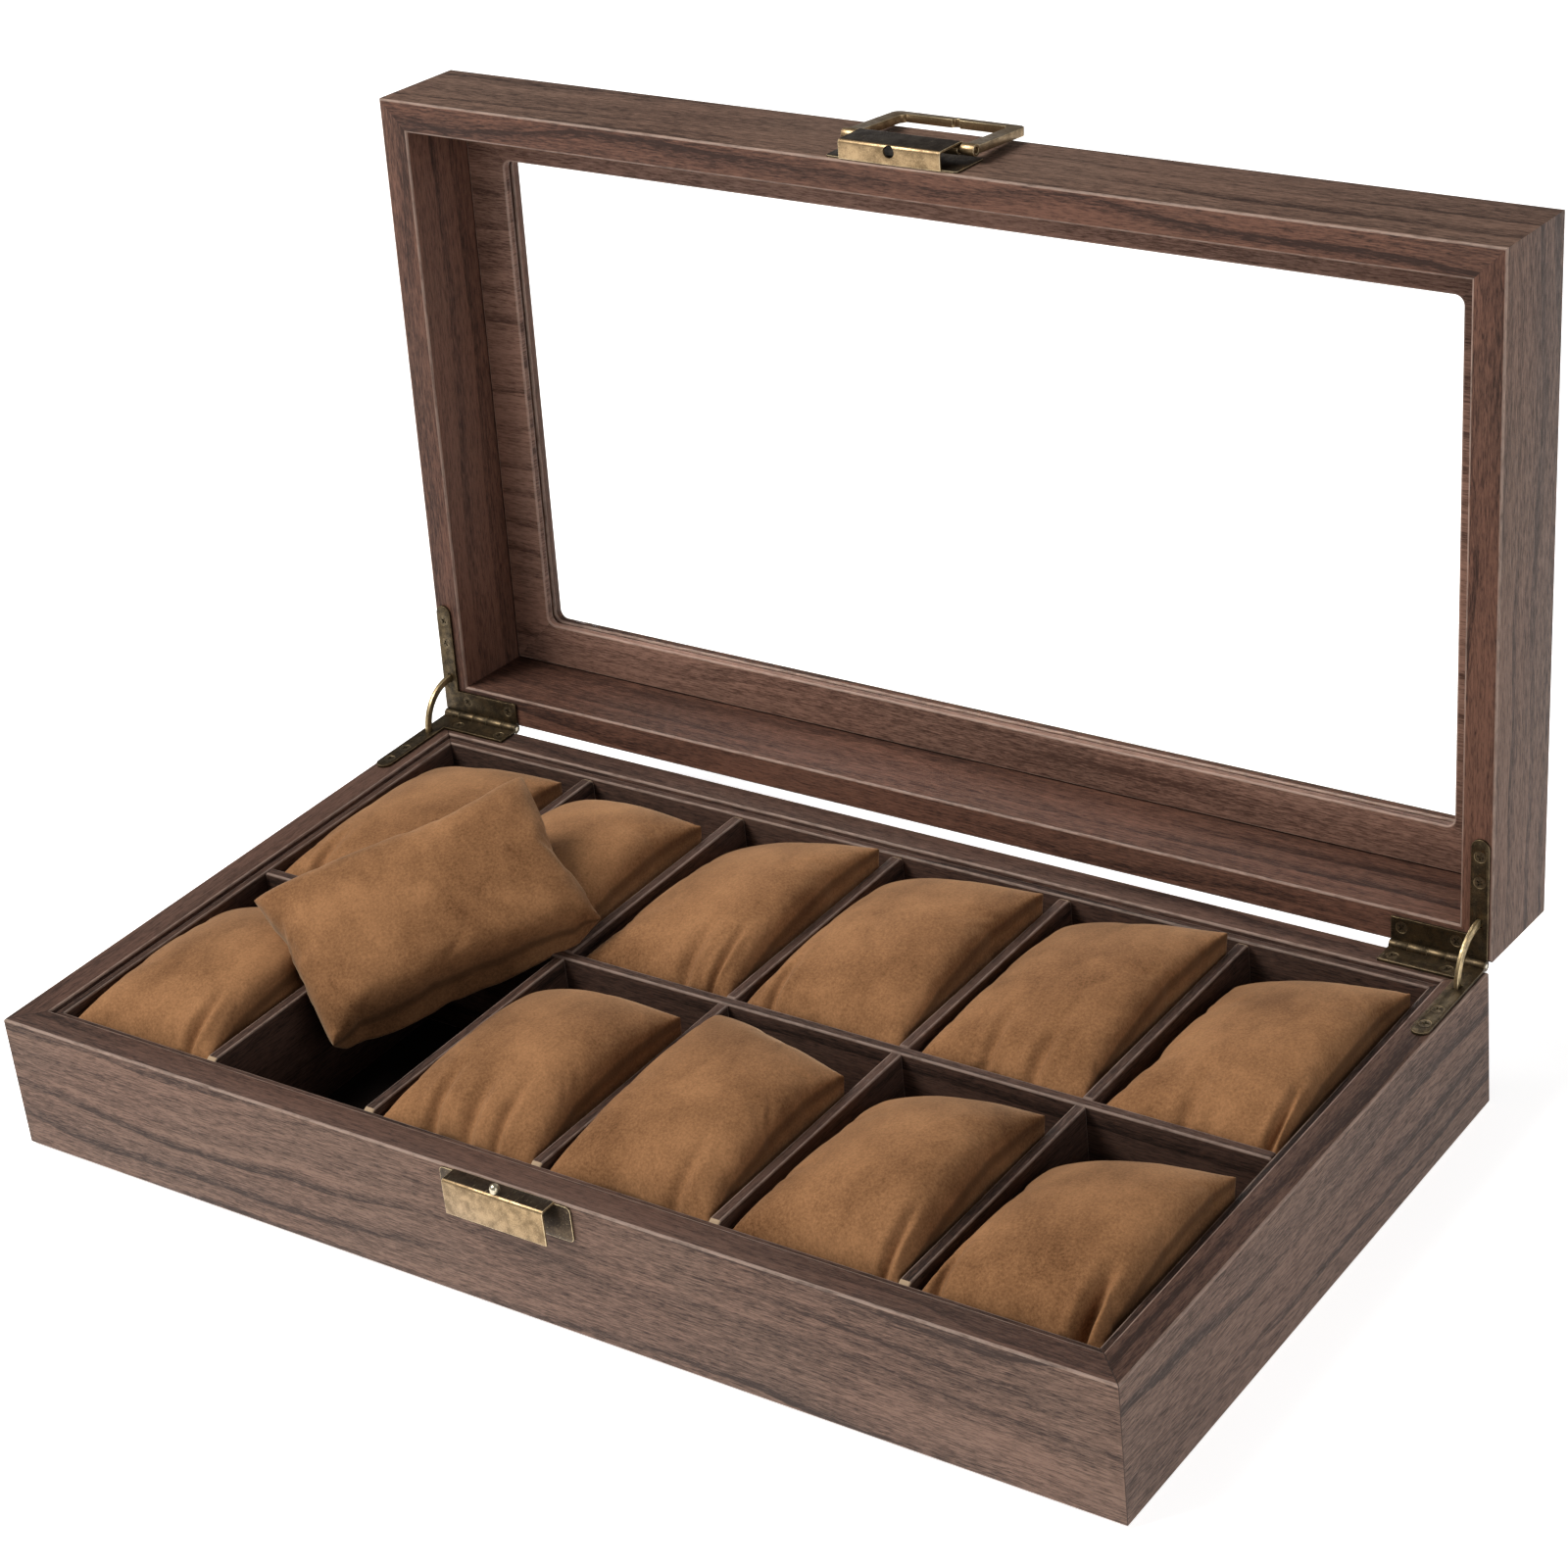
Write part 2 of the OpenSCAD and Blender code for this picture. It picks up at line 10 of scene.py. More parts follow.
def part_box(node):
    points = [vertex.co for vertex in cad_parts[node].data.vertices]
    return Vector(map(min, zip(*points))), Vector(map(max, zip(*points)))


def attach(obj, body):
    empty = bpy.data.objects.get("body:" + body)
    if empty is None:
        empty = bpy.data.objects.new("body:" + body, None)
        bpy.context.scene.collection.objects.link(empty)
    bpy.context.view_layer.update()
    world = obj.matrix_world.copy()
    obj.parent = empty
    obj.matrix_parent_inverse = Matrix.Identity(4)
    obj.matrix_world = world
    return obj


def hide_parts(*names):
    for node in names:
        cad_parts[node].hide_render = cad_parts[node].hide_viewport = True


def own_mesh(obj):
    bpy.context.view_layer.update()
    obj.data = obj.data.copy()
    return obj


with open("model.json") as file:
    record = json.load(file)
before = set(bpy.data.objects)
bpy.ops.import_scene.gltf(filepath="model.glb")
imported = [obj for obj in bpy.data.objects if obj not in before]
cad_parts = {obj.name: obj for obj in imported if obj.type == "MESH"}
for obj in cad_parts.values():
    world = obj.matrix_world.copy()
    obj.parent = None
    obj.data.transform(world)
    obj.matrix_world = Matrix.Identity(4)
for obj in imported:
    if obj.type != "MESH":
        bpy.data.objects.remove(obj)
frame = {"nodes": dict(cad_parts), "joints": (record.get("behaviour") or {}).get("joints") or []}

bl_info = {
    "name": "Watch box",
    "version": (1, 0, 0),
    "blender": (4, 5, 0),
    "location": "3D View > Sidebar > Watch box",
    "description": "Glazed watch box with wrapped boards, brass fittings and suede pillows",
    "category": "Object",
}

MM = 0.001
UNTURNED = Matrix.Identity(4)


def turn(angle, axis):
    return Matrix.Rotation(math.radians(angle), 4, axis)


def shift_mm(x, y, z):
    return Matrix.Translation((x * MM, y * MM, z * MM))


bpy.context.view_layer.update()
LID_HINGE = next(j for j in frame["joints"] if j["name"] == "lid_hinge")
HINGE_POINT = Vector(LID_HINGE["pos_m"])
# Turns what is made for the closed lid to where it stands open
OPENED = (
    Matrix.Translation(HINGE_POINT)
    @ turn(LID_HINGE["range_deg"][0], "X")
    @ Matrix.Translation(-HINGE_POINT)
)
SIDES = {"front": 0.0, "right": 90.0, "back": 180.0, "left": 270.0}
COLUMNS = 6


def box_mm(name, place=UNTURNED):
    """Lowest and highest corner of a CAD node in millimetres, moved first if asked for."""
    points = np.array([place @ v.co for v in frame["nodes"][name].data.vertices]) / MM
    return points.min(0), points.max(0)


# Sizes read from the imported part, in millimetres
CLOSED = OPENED.inverted()
WALL_LO, WALL_HI = box_mm("base_front_wall")
SIDE_LO, SIDE_HI = box_mm("base_left_wall")
FLOOR_LO = box_mm("base_floor")[0]
LINER_LO, LINER_HI = box_mm("liner_front")
CELL_LO, CELL_HI = box_mm("floor_lining")
LONG_LO, LONG_HI = box_mm("long_divider")
CROSS_LO, CROSS_HI = box_mm("cross_divider_1")
LEAF_LO, LEAF_HI = box_mm("hinge_base_leaf_left")
STAY_LO, STAY_HI = box_mm("hinge_stay_left")
RAIL_LO, RAIL_HI = box_mm("lid_left_rail", CLOSED)
RETAINER_LO, RETAINER_HI = box_mm("glass_retainer", CLOSED)
PANE_TOP = box_mm("glass_pane", CLOSED)[1][2]
AXIS_Y, AXIS_Z = HINGE_POINT.y / MM, HINGE_POINT.z / MM
BOX_W = WALL_HI[0] - WALL_LO[0]
BOX_D = SIDE_HI[1] - SIDE_LO[1]
RIM_Z = WALL_HI[2]
WALL_T = FLOOR_LO[0] - WALL_LO[0]
LINER_T = CELL_LO[0] - FLOOR_LO[0]
BORDER = RAIL_HI[0] - RAIL_LO[0]
DIVIDER_T = CROSS_HI[0] - CROSS_LO[0]
INNER_W = CELL_HI[0] - CELL_LO[0]
INNER_D = CELL_HI[1] - CELL_LO[1]
CELL_W = (INNER_W - (COLUMNS - 1) * DIVIDER_T) / COLUMNS
CELL_L = (INNER_D - DIVIDER_T) / 2

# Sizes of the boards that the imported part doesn't tell
WINDOW_R = 2.5
RETAINER_ROUND = 0.5
LONG_END_ROUND = 0.8
CROSS_END_ROUND = 1.8
RAW_END = CROSS_END_ROUND + 0.4
RAW_DEPTH = 6
LAP_W = DIVIDER_T + 0.2
LAP_END = CROSS_LO[2] / 2 + LINER_HI[2] / 2
# Room in the boards for the knuckles and the stays: play beside a stay, reach from the axis
RELIEF_R = 1.6
RELIEF_PLAY = 1.0
POCKET_PLAY = 0.4
POCKET_NEAR = 5.0
POCKET_FAR = 12.8
POCKET_DEPTH = 10.8


# ---------------- settings


def number_setting(name, description, value, **limits):
    return bpy.props.FloatProperty(name=name, description=description, default=value, **limits)


def size_setting(name, description, value, low, high):
    return number_setting(name, description, value * MM, min=low * MM, max=high * MM,
                          unit="LENGTH", precision=5)


def tone_setting(name, description, value):
    return bpy.props.FloatVectorProperty(name=name, description=description, default=value,
                                         subtype="COLOR", size=3, min=0.0, max=1.0)


class WatchBoxSizes(bpy.types.PropertyGroup):
    rim_round: size_setting("Rim rounding", "Rounding of the wrapped boards' long edges", 0.55, 0.2, 2)
    mitre_gap: size_setting("Mitre groove", "Chamfer along the mitred joints", 0.13, 0, 0.5)
    insert_round: size_setting("Insert rounding", "Rounding of liners and dividers", 0.5, 0.1, 1)
    metal_round: size_setting("Metal rounding", "Rounding of the brass parts' edges", 0.12, 0.02, 0.3)
    pillow_l: size_setting("Pillow length", "Finished length of the pillow that lies on top", 78, 60, 90)
    pillow_w: size_setting("Pillow width", "Finished width of the pillow that lies on top", 48, 36, 60)
    pillow_t: size_setting("Pillow thickness", "Thickness of the pillow that lies on top", 26, 15, 40)


class WatchBoxFinish(bpy.types.PropertyGroup):
    walnut_light: tone_setting("Walnut light", "Lightest tone of the walnut wrap", (0.195, 0.114, 0.081))
    walnut_dark: tone_setting("Walnut dark", "Tone of the dark streaks in the wrap", (0.037, 0.02, 0.0145))
    # The lid's inside wrap is a darker copy of the walnut foil: its tones paint the shade inside the lid
    inner_light: tone_setting(
        "Lid inside light", "Lightest tone of the wrap inside the lid", (0.138, 0.063, 0.041))
    inner_dark: tone_setting(
        "Lid inside dark", "Tone of the streaks inside the lid", (0.028, 0.0125, 0.0085))
    # The glass frame's wrap is a lighter copy of the walnut foil: its tones paint the light that falls on
    # the frame
    frame_light: tone_setting(
        "Glass frame light", "Lightest tone of the frame that holds the glass", (0.24, 0.13, 0.093))
    frame_dark: tone_setting("Glass frame dark", "Tone of the streaks on that frame", (0.06, 0.028, 0.019))
    # The base's rim wrap is a darker copy of the walnut foil: its tones paint the shade on the rim
    rim_light: tone_setting(
        "Rim light", "Lightest tone of the wrap on the base's rim", (0.105, 0.055, 0.039))
    rim_dark: tone_setting("Rim dark", "Tone of the streaks on the base's rim", (0.025, 0.013, 0.0095))
    # The liners' and dividers' wrap is darker than the walnut foil: partly its own tone, partly painted
    # shade in the deep compartments
    insert_light: tone_setting(
        "Insert light", "Lightest tone of liners and dividers", (0.085, 0.045, 0.032))
    insert_dark: tone_setting(
        "Insert dark", "Tone of the streaks on liners and dividers", (0.017, 0.009, 0.0065))
    # Pale tone along the wrap's edges: partly abrasion and partly a painted highlight
    edge_wear: tone_setting("Worn edge", "Tone of the wrap along its edges", (0.5, 0.37, 0.3))
    raw_board: tone_setting("Raw board", "Cut ends of the divider boards", (0.42, 0.31, 0.2))
    brass_light: tone_setting("Brass light", "Rubbed antique brass", (0.36, 0.25, 0.135))
    brass_dark: tone_setting("Brass dark", "Patina on the antique brass", (0.16, 0.107, 0.055))
    suede_light: tone_setting("Suede light", "Nap brushed towards the light", (0.31, 0.152, 0.066))
    suede_dark: tone_setting("Suede dark", "Nap brushed away from the light", (0.105, 0.044, 0.016))
    floor: tone_setting("Studio floor", "Colour of the studio floor", (0.93, 0.93, 0.93))


class WatchBoxStage(bpy.types.PropertyGroup):
    key_power: number_setting(
        "Key light", "Power of the large light from the upper left front", 42.0, min=0.0, unit="POWER")
    fill_power: number_setting(
        "Fill light", "Power of the soft light from the right", 7.5, min=0.0, unit="POWER")
    surround: number_setting(
        "Surround", "Brightness of the white surround", 0.2, min=0.0, subtype="FACTOR")
    lens: number_setting("Lens", "Focal length of the camera", 85.03, min=20.0, unit="CAMERA")


SETTINGS = {"watch_box_sizes": WatchBoxSizes, "watch_box_finish": WatchBoxFinish,
            "watch_box_stage": WatchBoxStage}


def size_mm(name):
    return getattr(bpy.context.scene.watch_box_sizes, name) / MM


def tone(value):
    """A colour as given, or by the name of its setting."""
    return getattr(bpy.context.scene.watch_box_finish, value) if isinstance(value, str) else value


# ---------------- nodes


class Wire:
    """A node's output to reckon with; each step adds a node to the same tree."""

    def __init__(self, socket):
        self.socket, self.tree = socket, socket.id_data

    def calc(self, operation, other=0.0, clamp=False):
        return wired(self.tree, "ShaderNodeMath", {0: self, 1: other},
                     operation=operation, use_clamp=clamp)

    def __add__(self, other):
        return self.calc("ADD", other)

    def __sub__(self, other):
        return self.calc("SUBTRACT", other)

    def __mul__(self, other):
        return self.calc("MULTIPLY", other)

    def __truediv__(self, other):
        return self.calc("DIVIDE", other)


def plug(socket, *values):
    """Links wires to an input, or sets the input to a plain value."""
    for value in values:
        if isinstance(value, Wire):
            socket.id_data.links.new(value.socket, socket)
        else:
            socket.default_value = value


def add_node(tree, kind, inputs=None, **settings):
    """Adds a node with its settings and inputs; an input can take a list of wires."""
    made = tree.nodes.new(kind)
    for key, value in settings.items():
        setattr(made, key, value)
    for key, value in (inputs or {}).items():
        plug(made.inputs[key], *(value if isinstance(value, list) else [value]))
    return made


def wired(tree, kind, inputs=None, output=0, **settings):
    """Adds a node and returns one of its outputs."""
    return Wire(add_node(tree, kind, inputs, **settings).outputs[output])


def outputs(node):
    return {socket.name: Wire(socket) for socket in node.outputs}


def split(vector):
    made = add_node(vector.tree, "ShaderNodeSeparateXYZ", {0: vector})
    return [Wire(socket) for socket in made.outputs]


def combine(*parts):
    tree = next(part.tree for part in parts if isinstance(part, Wire))
    return wired(tree, "ShaderNodeCombineXYZ", dict(enumerate(parts)))


def vector_math(operation, first, inputs):
    return wired(first.tree, "ShaderNodeVectorMath", {0: first, **inputs}, operation=operation)


def ramp(value, low, high, to_low=0.0, to_high=1.0):
    """Eases from one level to another while the value runs from low to high."""
    return wired(value.tree, "ShaderNodeMapRange", {
        "Value": value, "From Min": low, "From Max": high, "To Min": to_low, "To Max": to_high},
        interpolation_type="SMOOTHSTEP")


def noise(vector, scale=1.0, detail=2.0, roughness=0.5, output="Fac"):
    return wired(vector.tree, "ShaderNodeTexNoise", {
        "Vector": vector, "Scale": scale, "Detail": detail, "Roughness": roughness}, output)


def mix(factor, first, second, blend="MIX"):
    """Blends two colours, each a wire or a plain one."""
    first, second = (c if isinstance(c, Wire) else (*c, 1.0) for c in (first, second))
    return wired(factor.tree, "ShaderNodeMix", {0: factor, 6: first, 7: second}, 2,
                 data_type="RGBA", blend_type=blend)


def attribute(tree, name, output="Vector"):
    return wired(tree, "ShaderNodeAttribute", output=output, attribute_name=name)


def object_place(tree):
    return wired(tree, "ShaderNodeTexCoord", output="Object")


def new_tree(kind, name, given, made):
    """A node tree with named sockets of the kinds told. Returns the tree, its inputs as wires,
    its outputs' sockets and the identifiers of its inputs."""
    tree = bpy.data.node_groups.new(name, f"{kind}NodeTree")
    ids = {}
    for label, what in given.items():
        ids[label] = tree.interface.new_socket(
            label, in_out="INPUT", socket_type=f"NodeSocket{what}").identifier
    for label, what in made.items():
        tree.interface.new_socket(label, in_out="OUTPUT", socket_type=f"NodeSocket{what}")
    start, end = tree.nodes.new("NodeGroupInput"), tree.nodes.new("NodeGroupOutput")
    return tree, {label: Wire(start.outputs[label]) for label in given}, end.inputs, ids


def shader_group(name, given, made):
    return new_tree("Shader", name, given, dict.fromkeys(made, "Float"))[:3]


def walnut_group():
    """Streaks, fibres and pores that run along the first coordinate, all in millimetres."""
    tree, given, out = shader_group(
        "walnut grain", {"Grain": "Vector", "Band": "Float", "Wave": "Float"},
        ("Tone", "Fibre", "Pores", "Height"))
    along, across, board = split(vector_math("SCALE", given["Grain"], {"Scale": 1 / MM}))

    def stretched(length, width, shift=0.0, line=across, detail=2.0, roughness=0.5):
        return noise(combine(along / length, line / width, board + shift), 1.0, detail, roughness)

    slow = stretched(120.0, 45.0, detail=1.0) - 0.5
    quick = stretched(26.0, 14.0, 4.7, detail=1.0) - 0.5
    bent = across + slow * (given["Wave"] * 2.6) + quick * (given["Wave"] * 0.32)
    bands = stretched(340.0, given["Band"], 9.1, bent, 4.0, 0.62)
    rings = (bent / (given["Band"] * 2.3)).calc("FRACT")
    strength = ramp(stretched(150.0, 16.0, 2.2, bent, 1.0), 0.35, 0.65)
    lines = ramp(rings, 0.02, 0.45, 1.0, 0.0) * ramp(rings, 0.0, 0.03) * strength
    broad = stretched(170.0, 60.0, 6.6, detail=1.0)
    fibre = stretched(3.8, 0.38, 1.4, detail=3.0, roughness=0.72)
    pores = ramp(stretched(2.2, 0.25, 3.9, detail=1.0), 0.58, 0.72)
    level = (bands - 0.5) * 1.3 + (fibre - 0.5) * 2.9 + (broad - 0.5) - lines * 0.6 - pores * 0.4
    for label, value in (("Tone", level.calc("ADD", 0.61, clamp=True)), ("Fibre", fibre),
                         ("Pores", pores), ("Height", fibre - pores)):
        plug(out[label], value)
    return tree


def wear_group():
    """How far a marked edge is pale, from abrasion and a painted highlight: broken up along its run."""
    tree, given, out = shader_group(
        "edge wear", {"Vector": "Vector", "Edge": "Float", "Amount": "Float", "Scale": "Float"},
        ("Mask",))
    patches = ramp(noise(given["Vector"], given["Scale"], 3.0, 0.65), 0.25, 0.6, 0.35, 1.0)
    plug(out["Mask"], (given["Edge"] * patches).calc("MULTIPLY", given["Amount"], clamp=True))
    return tree


def mottle_group():
    """Cloudy patches, fine specks and short scratches for metal and cloth."""
    tree, given, out = shader_group(
        "mottle", {"Vector": "Vector", "Cloud": "Float", "Speck": "Float"},
        ("Cloud", "Speck", "Scratch"))
    turned_place = wired(tree, "ShaderNodeMapping", {
        "Vector": given["Vector"], "Rotation": (0.4, 0.9, 0.7), "Scale": (3.0, 0.3, 3.0)})
    plug(out["Cloud"], noise(given["Vector"], given["Cloud"], 4.0, 0.6))
    plug(out["Speck"], noise(given["Vector"], given["Speck"], 2.0, 0.6))
    plug(out["Scratch"], ramp(noise(turned_place, 900.0, 2.0, 0.7), 0.6, 0.75))
    return tree


GROUPS = {}


def place_group(tree, name, inputs):
    """Adds a shader group to a tree and returns its outputs by name."""
    if not GROUPS:
        GROUPS.update(walnut=walnut_group(), wear=wear_group(), mottle=mottle_group())
    return outputs(add_node(tree, "ShaderNodeGroup", inputs, node_tree=GROUPS[name]))


def mottled(vector, cloud, speck):
    """Mottle with patches and specks of these sizes in millimetres."""
    return place_group(vector.tree, "mottle", {
        "Vector": vector, "Cloud": 1 / (cloud * MM), "Speck": 1 / (speck * MM)})


def worn_and_highlit(vector, amount, patch):
    """The share of the marked edges that is pale from abrasion and a painted highlight, in patches of this
    size in millimetres.
    """
    return place_group(vector.tree, "wear", {
        "Vector": vector, "Edge": attribute(vector.tree, "edge", "Fac"), "Amount": amount,
        "Scale": 1 / (patch * MM)})["Mask"]


# ---------------- materials


def new_material(name, **constants):
    """A material with its shader's constant sockets set, and the tree to add to."""
    made = bpy.data.materials.new(name)
    made.use_nodes = True
    shader = made.node_tree.nodes["Principled BSDF"]
    for key, value in constants.items():
        shader.inputs[key.replace("_", " ").title().replace("Ior", "IOR")].default_value = value
    return made, made.node_tree, shader


def coat(shader, colour, height, strength, depth, roughness=None):
    """Gives a shader its colour, a relief so many millimetres deep and, if told, a roughness."""
    plug(shader.inputs["Base Color"], colour)
    if roughness:
        plug(shader.inputs["Roughness"], roughness)
    plug(shader.inputs["Normal"], wired(height.tree, "ShaderNodeBump", {
        "Height": height, "Strength": strength, "Distance": depth * MM}))


def wood_wrap(name, light, dark, band, wave, wear):
    """Walnut foil with pale edges, partly abrasion and partly a painted highlight, and dark joints."""
    made, tree, shader = new_material(name, specular_ior_level=0.2)
    grain = attribute(tree, "grain")
    walnut = place_group(tree, "walnut", {"Grain": grain, "Band": band, "Wave": wave})
    colour = mix(walnut["Tone"], tone(dark), tone(light))
    hue = ramp(noise(grain, 22.0, 1.0), 0.35, 0.65) * 0.35
    colour = mix(hue, colour, (0.9, 1.0, 1.02), "MULTIPLY")
    # The pale edges are partly abrasion and partly a painted highlight
    colour = mix(worn_and_highlit(grain, wear, 6.0), colour, tone("edge_wear"))
    colour = mix(attribute(tree, "seam", "Fac") * 0.75, colour, (0.03, 0.02, 0.017))
    coat(shader, colour, walnut["Height"], 0.35, 0.12, ramp(walnut["Fibre"], 0.2, 0.8, 0.68, 0.5))
    return made


def raw_end(name):
    made, tree, shader = new_material(name, roughness=0.85, specular_ior_level=0.2)
    spots = mottled(object_place(tree), 0.8, 0.2)
    coat(shader, mix(spots["Cloud"], (0.28, 0.19, 0.12), tone("raw_board")), spots["Speck"], 0.4, 0.1)
    return made


def cloth_lining(name, base, pale):
    made, tree, shader = new_material(
        name, roughness=0.95, specular_ior_level=0.1, sheen_weight=0.03, sheen_roughness=0.5)
    spots = mottled(object_place(tree), 9.0, 0.6)
    blend = spots["Speck"] * 0.6 + spots["Cloud"] * 0.4
    coat(shader, mix(blend, base, pale), spots["Speck"], 0.6, 0.2)
    return made


def bottom_board(name):
    made, tree, shader = new_material(name, roughness=0.8, specular_ior_level=0.2)
    walnut = place_group(tree, "walnut", {"Grain": object_place(tree), "Band": 5.0, "Wave": 4.0})
    colour = mix(walnut["Tone"], (0.06, 0.035, 0.025), (0.16, 0.1, 0.07))
    coat(shader, colour, walnut["Height"], 0.3, 0.1)
    return made


def brass(name, light, dark, cloud, rubbed_and_highlit, roughness):
    """Antique brass: cloudy patina, fine scratches, and bright edges from abrasion and a painted
    highlight.
    """
    made, tree, shader = new_material(name, metallic=0.92)
    place = object_place(tree)
    spots = mottled(place, cloud, 0.35)
    patina = ramp(spots["Speck"] * 0.35 + spots["Cloud"] * 0.75, 0.34, 0.74)
    colour = mix(patina, tone(dark), tone(light))
    colour = mix(spots["Scratch"] * 0.3, colour, rubbed_and_highlit)
    # The bright edges are partly abrasion and partly a painted highlight
    colour = mix(worn_and_highlit(place, 0.85, 1.5), colour, rubbed_and_highlit)
    coat(shader, colour, spots["Speck"], 0.25, 0.05,
         ramp(patina, 0.0, 1.0, roughness + 0.16, roughness))
    return made


def glass(name):
    """Clear glass that lets light through to what lies under it."""
    made, tree, shader = new_material(name, base_color=(0.98, 0.99, 0.985, 1.0), roughness=0.0,
                                      ior=1.45, transmission_weight=1.0, metallic=0.0)
    shadow = wired(tree, "ShaderNodeLightPath", output="Is Shadow Ray")
    plug(shader.inputs["Alpha"], ramp(shadow, 0.0, 1.0, 1.0, 0.3))
    return made


def suede(name):
    """Brushed suede in its own cloth coordinates, with painted shade in the crease along the stitched
    border.
    """
    made, tree, shader = new_material(
        name, roughness=0.9, specular_ior_level=0.15, sheen_weight=0.3, sheen_roughness=0.4,
        sheen_tint=(1.0, 0.72, 0.46, 1.0))
    place = attribute(tree, "cloth")
    bend = vector_math("SCALE", noise(place, 40.0, 1.0, output="Color"), {"Scale": 0.012})
    moved = vector_math("ADD", place, {1: bend})
    brushed = wired(tree, "ShaderNodeMapping", {
        "Vector": moved, "Rotation": (0.0, 0.0, 0.5), "Scale": (1.0, 0.6, 1.0)})
    strokes = noise(brushed, 260.0, 3.0, 0.6)
    nap = noise(place, 1500.0, 3.0, 0.7)
    level = (noise(moved, 42.0) - 0.5) * 1.5 + (strokes - 0.5) * 0.55 + (nap - 0.5) * 1.4
    colour = mix(level.calc("ADD", 0.54, clamp=True), tone("suede_dark"), tone("suede_light"))
    x, y, _ = split(attribute(tree, "panel"))
    # Painted shade in the crease along the border seam
    seam_shade = ramp(x.calc("ABSOLUTE").calc("MAXIMUM", y.calc("ABSOLUTE")), 0.972, 0.996)
    colour = mix(seam_shade * 0.6, colour, (0.05, 0.021, 0.008))
    coat(shader, colour, strokes * 0.5 + nap - seam_shade, 0.35, 0.16)
    return made


def seen_level(tree, seen, cast, rays):
    """One level for the rays named, another for the light that is cast."""
    path = outputs(tree.nodes.new("ShaderNodeLightPath"))
    direct = path[f"Is {rays[0]} Ray"]
    for ray in rays[1:]:
        direct = direct.calc("MAXIMUM", path[f"Is {ray} Ray"])
    return direct * (seen - cast) + cast


def studio_floor(name):
    made, tree, shader = new_material(
        name, roughness=0.9, specular_ior_level=0.1, emission_color=(1.0, 1.0, 1.0, 1.0))
    pale = tone("floor")
    faint = mix(noise(object_place(tree), 3.0), pale, [c * 0.99 for c in pale])
    plug(shader.inputs["Base Color"], faint)
    plug(shader.inputs["Emission Strength"],
         seen_level(tree, 0.75, 0.42, ("Camera", "Glossy", "Transmission")))
    return made


# Each with its maker and what it takes. A wrap: light and dark tone, width of the bands, their
# waviness, abrasion and painted highlight of the edges. A brass: light and dark tone, size of the
# patina's clouds, tone of scratches and of abraded edges with a painted highlight, roughness.
FINISHES = {
    "wall_wrap": (wood_wrap, "walnut_light", "walnut_dark", 4.2, 9.0, 0.42),
    # Darker copy of the walnut foil: painted shade on the inside and the rims of the lid
    "inner_wrap": (wood_wrap, "inner_light", "inner_dark", 4.2, 8.0, 0.4),
    # Lighter copy of the walnut foil: painted light on the glass frame
    "frame_wrap": (wood_wrap, "frame_light", "frame_dark", 4.2, 8.0, 0.4),
    # Darker copy of the walnut foil: painted shade on the base's rim
    "rim_wrap": (wood_wrap, "rim_light", "rim_dark", 4.2, 8.0, 0.38),
    # Darker wrap for liners and dividers: their own tone and painted shade in the compartments
    "insert_wrap": (wood_wrap, "insert_light", "insert_dark", 3.6, 5.0, 0.32),
    "raw_end": (raw_end,),
    # Near-black lining: partly the cloth's own dark tone, partly painted shade at the bottom of the deep
    # compartments
    "floor_lining": (cloth_lining, (0.006, 0.004, 0.003), (0.014, 0.009, 0.007)),
    "felt": (cloth_lining, (0.03, 0.02, 0.016), (0.085, 0.06, 0.045)),
    "bottom_board": (bottom_board,),
    "latch_metal": (brass, "brass_light", "brass_dark", 3.0, (0.85, 0.7, 0.44), 0.34),
    # Dark brass that paints shade and a dark reflection on the latch: back plates, the catch ledge's top,
    # the case's front face
    "plate_metal": (brass, (0.085, 0.06, 0.038), (0.03, 0.021, 0.015), 3.0, (0.7, 0.56, 0.34), 0.36),
    "hinge_metal": (brass, (0.1, 0.071, 0.038), (0.024, 0.018, 0.011), 2.5, (0.42, 0.31, 0.17), 0.38),
    "stay_metal": (brass, (0.5, 0.38, 0.2), (0.16, 0.12, 0.07), 2.0, (0.75, 0.6, 0.36), 0.34),
    "pin_metal": (brass, (0.66, 0.6, 0.47), (0.35, 0.3, 0.2), 2.0, (0.85, 0.8, 0.68), 0.22),
    "screw_metal": (brass, (0.16, 0.12, 0.07), (0.045, 0.034, 0.022), 1.0, (0.4, 0.32, 0.19), 0.4),
    "glass": (glass,),
    "suede": (suede,),
    "studio_floor": (studio_floor,),
}
MATERIALS = {}


def material(name):
    """A finish by its name, made when it is first asked for."""
    if name not in MATERIALS:
        maker, *values = FINISHES[name]
        MATERIALS[name] = maker(name, *values)
    return MATERIALS[name]


# ---------------- mesh helpers

# How far apart the grain of two boards is taken, in millimetres: boards on their own, in a row
GRAIN_STEP = 17
ROW_STEP = 11


def place_object(name, data):
    obj = bpy.data.objects.new(name, data)
    bpy.context.scene.collection.objects.link(obj)
    return obj


def evaluated(obj, name):
    """The plain mesh that an object's modifiers make; the object and its mesh go."""
    graph = bpy.context.evaluated_depsgraph_get()
    mesh = bpy.data.meshes.new_from_object(obj.evaluated_get(graph), depsgraph=graph)
    mesh.name = name
    bpy.data.meshes.remove(obj.data)
    return mesh


def grown(name, mesh, tree, values):
    """The mesh that Geometry Nodes make from another, given values by socket identifier."""
    obj = place_object(name, mesh)
    step = obj.modifiers.new(name, "NODES")
    step.node_group = tree
    for key, value in values.items():
        step[key] = value
    return evaluated(obj, name)


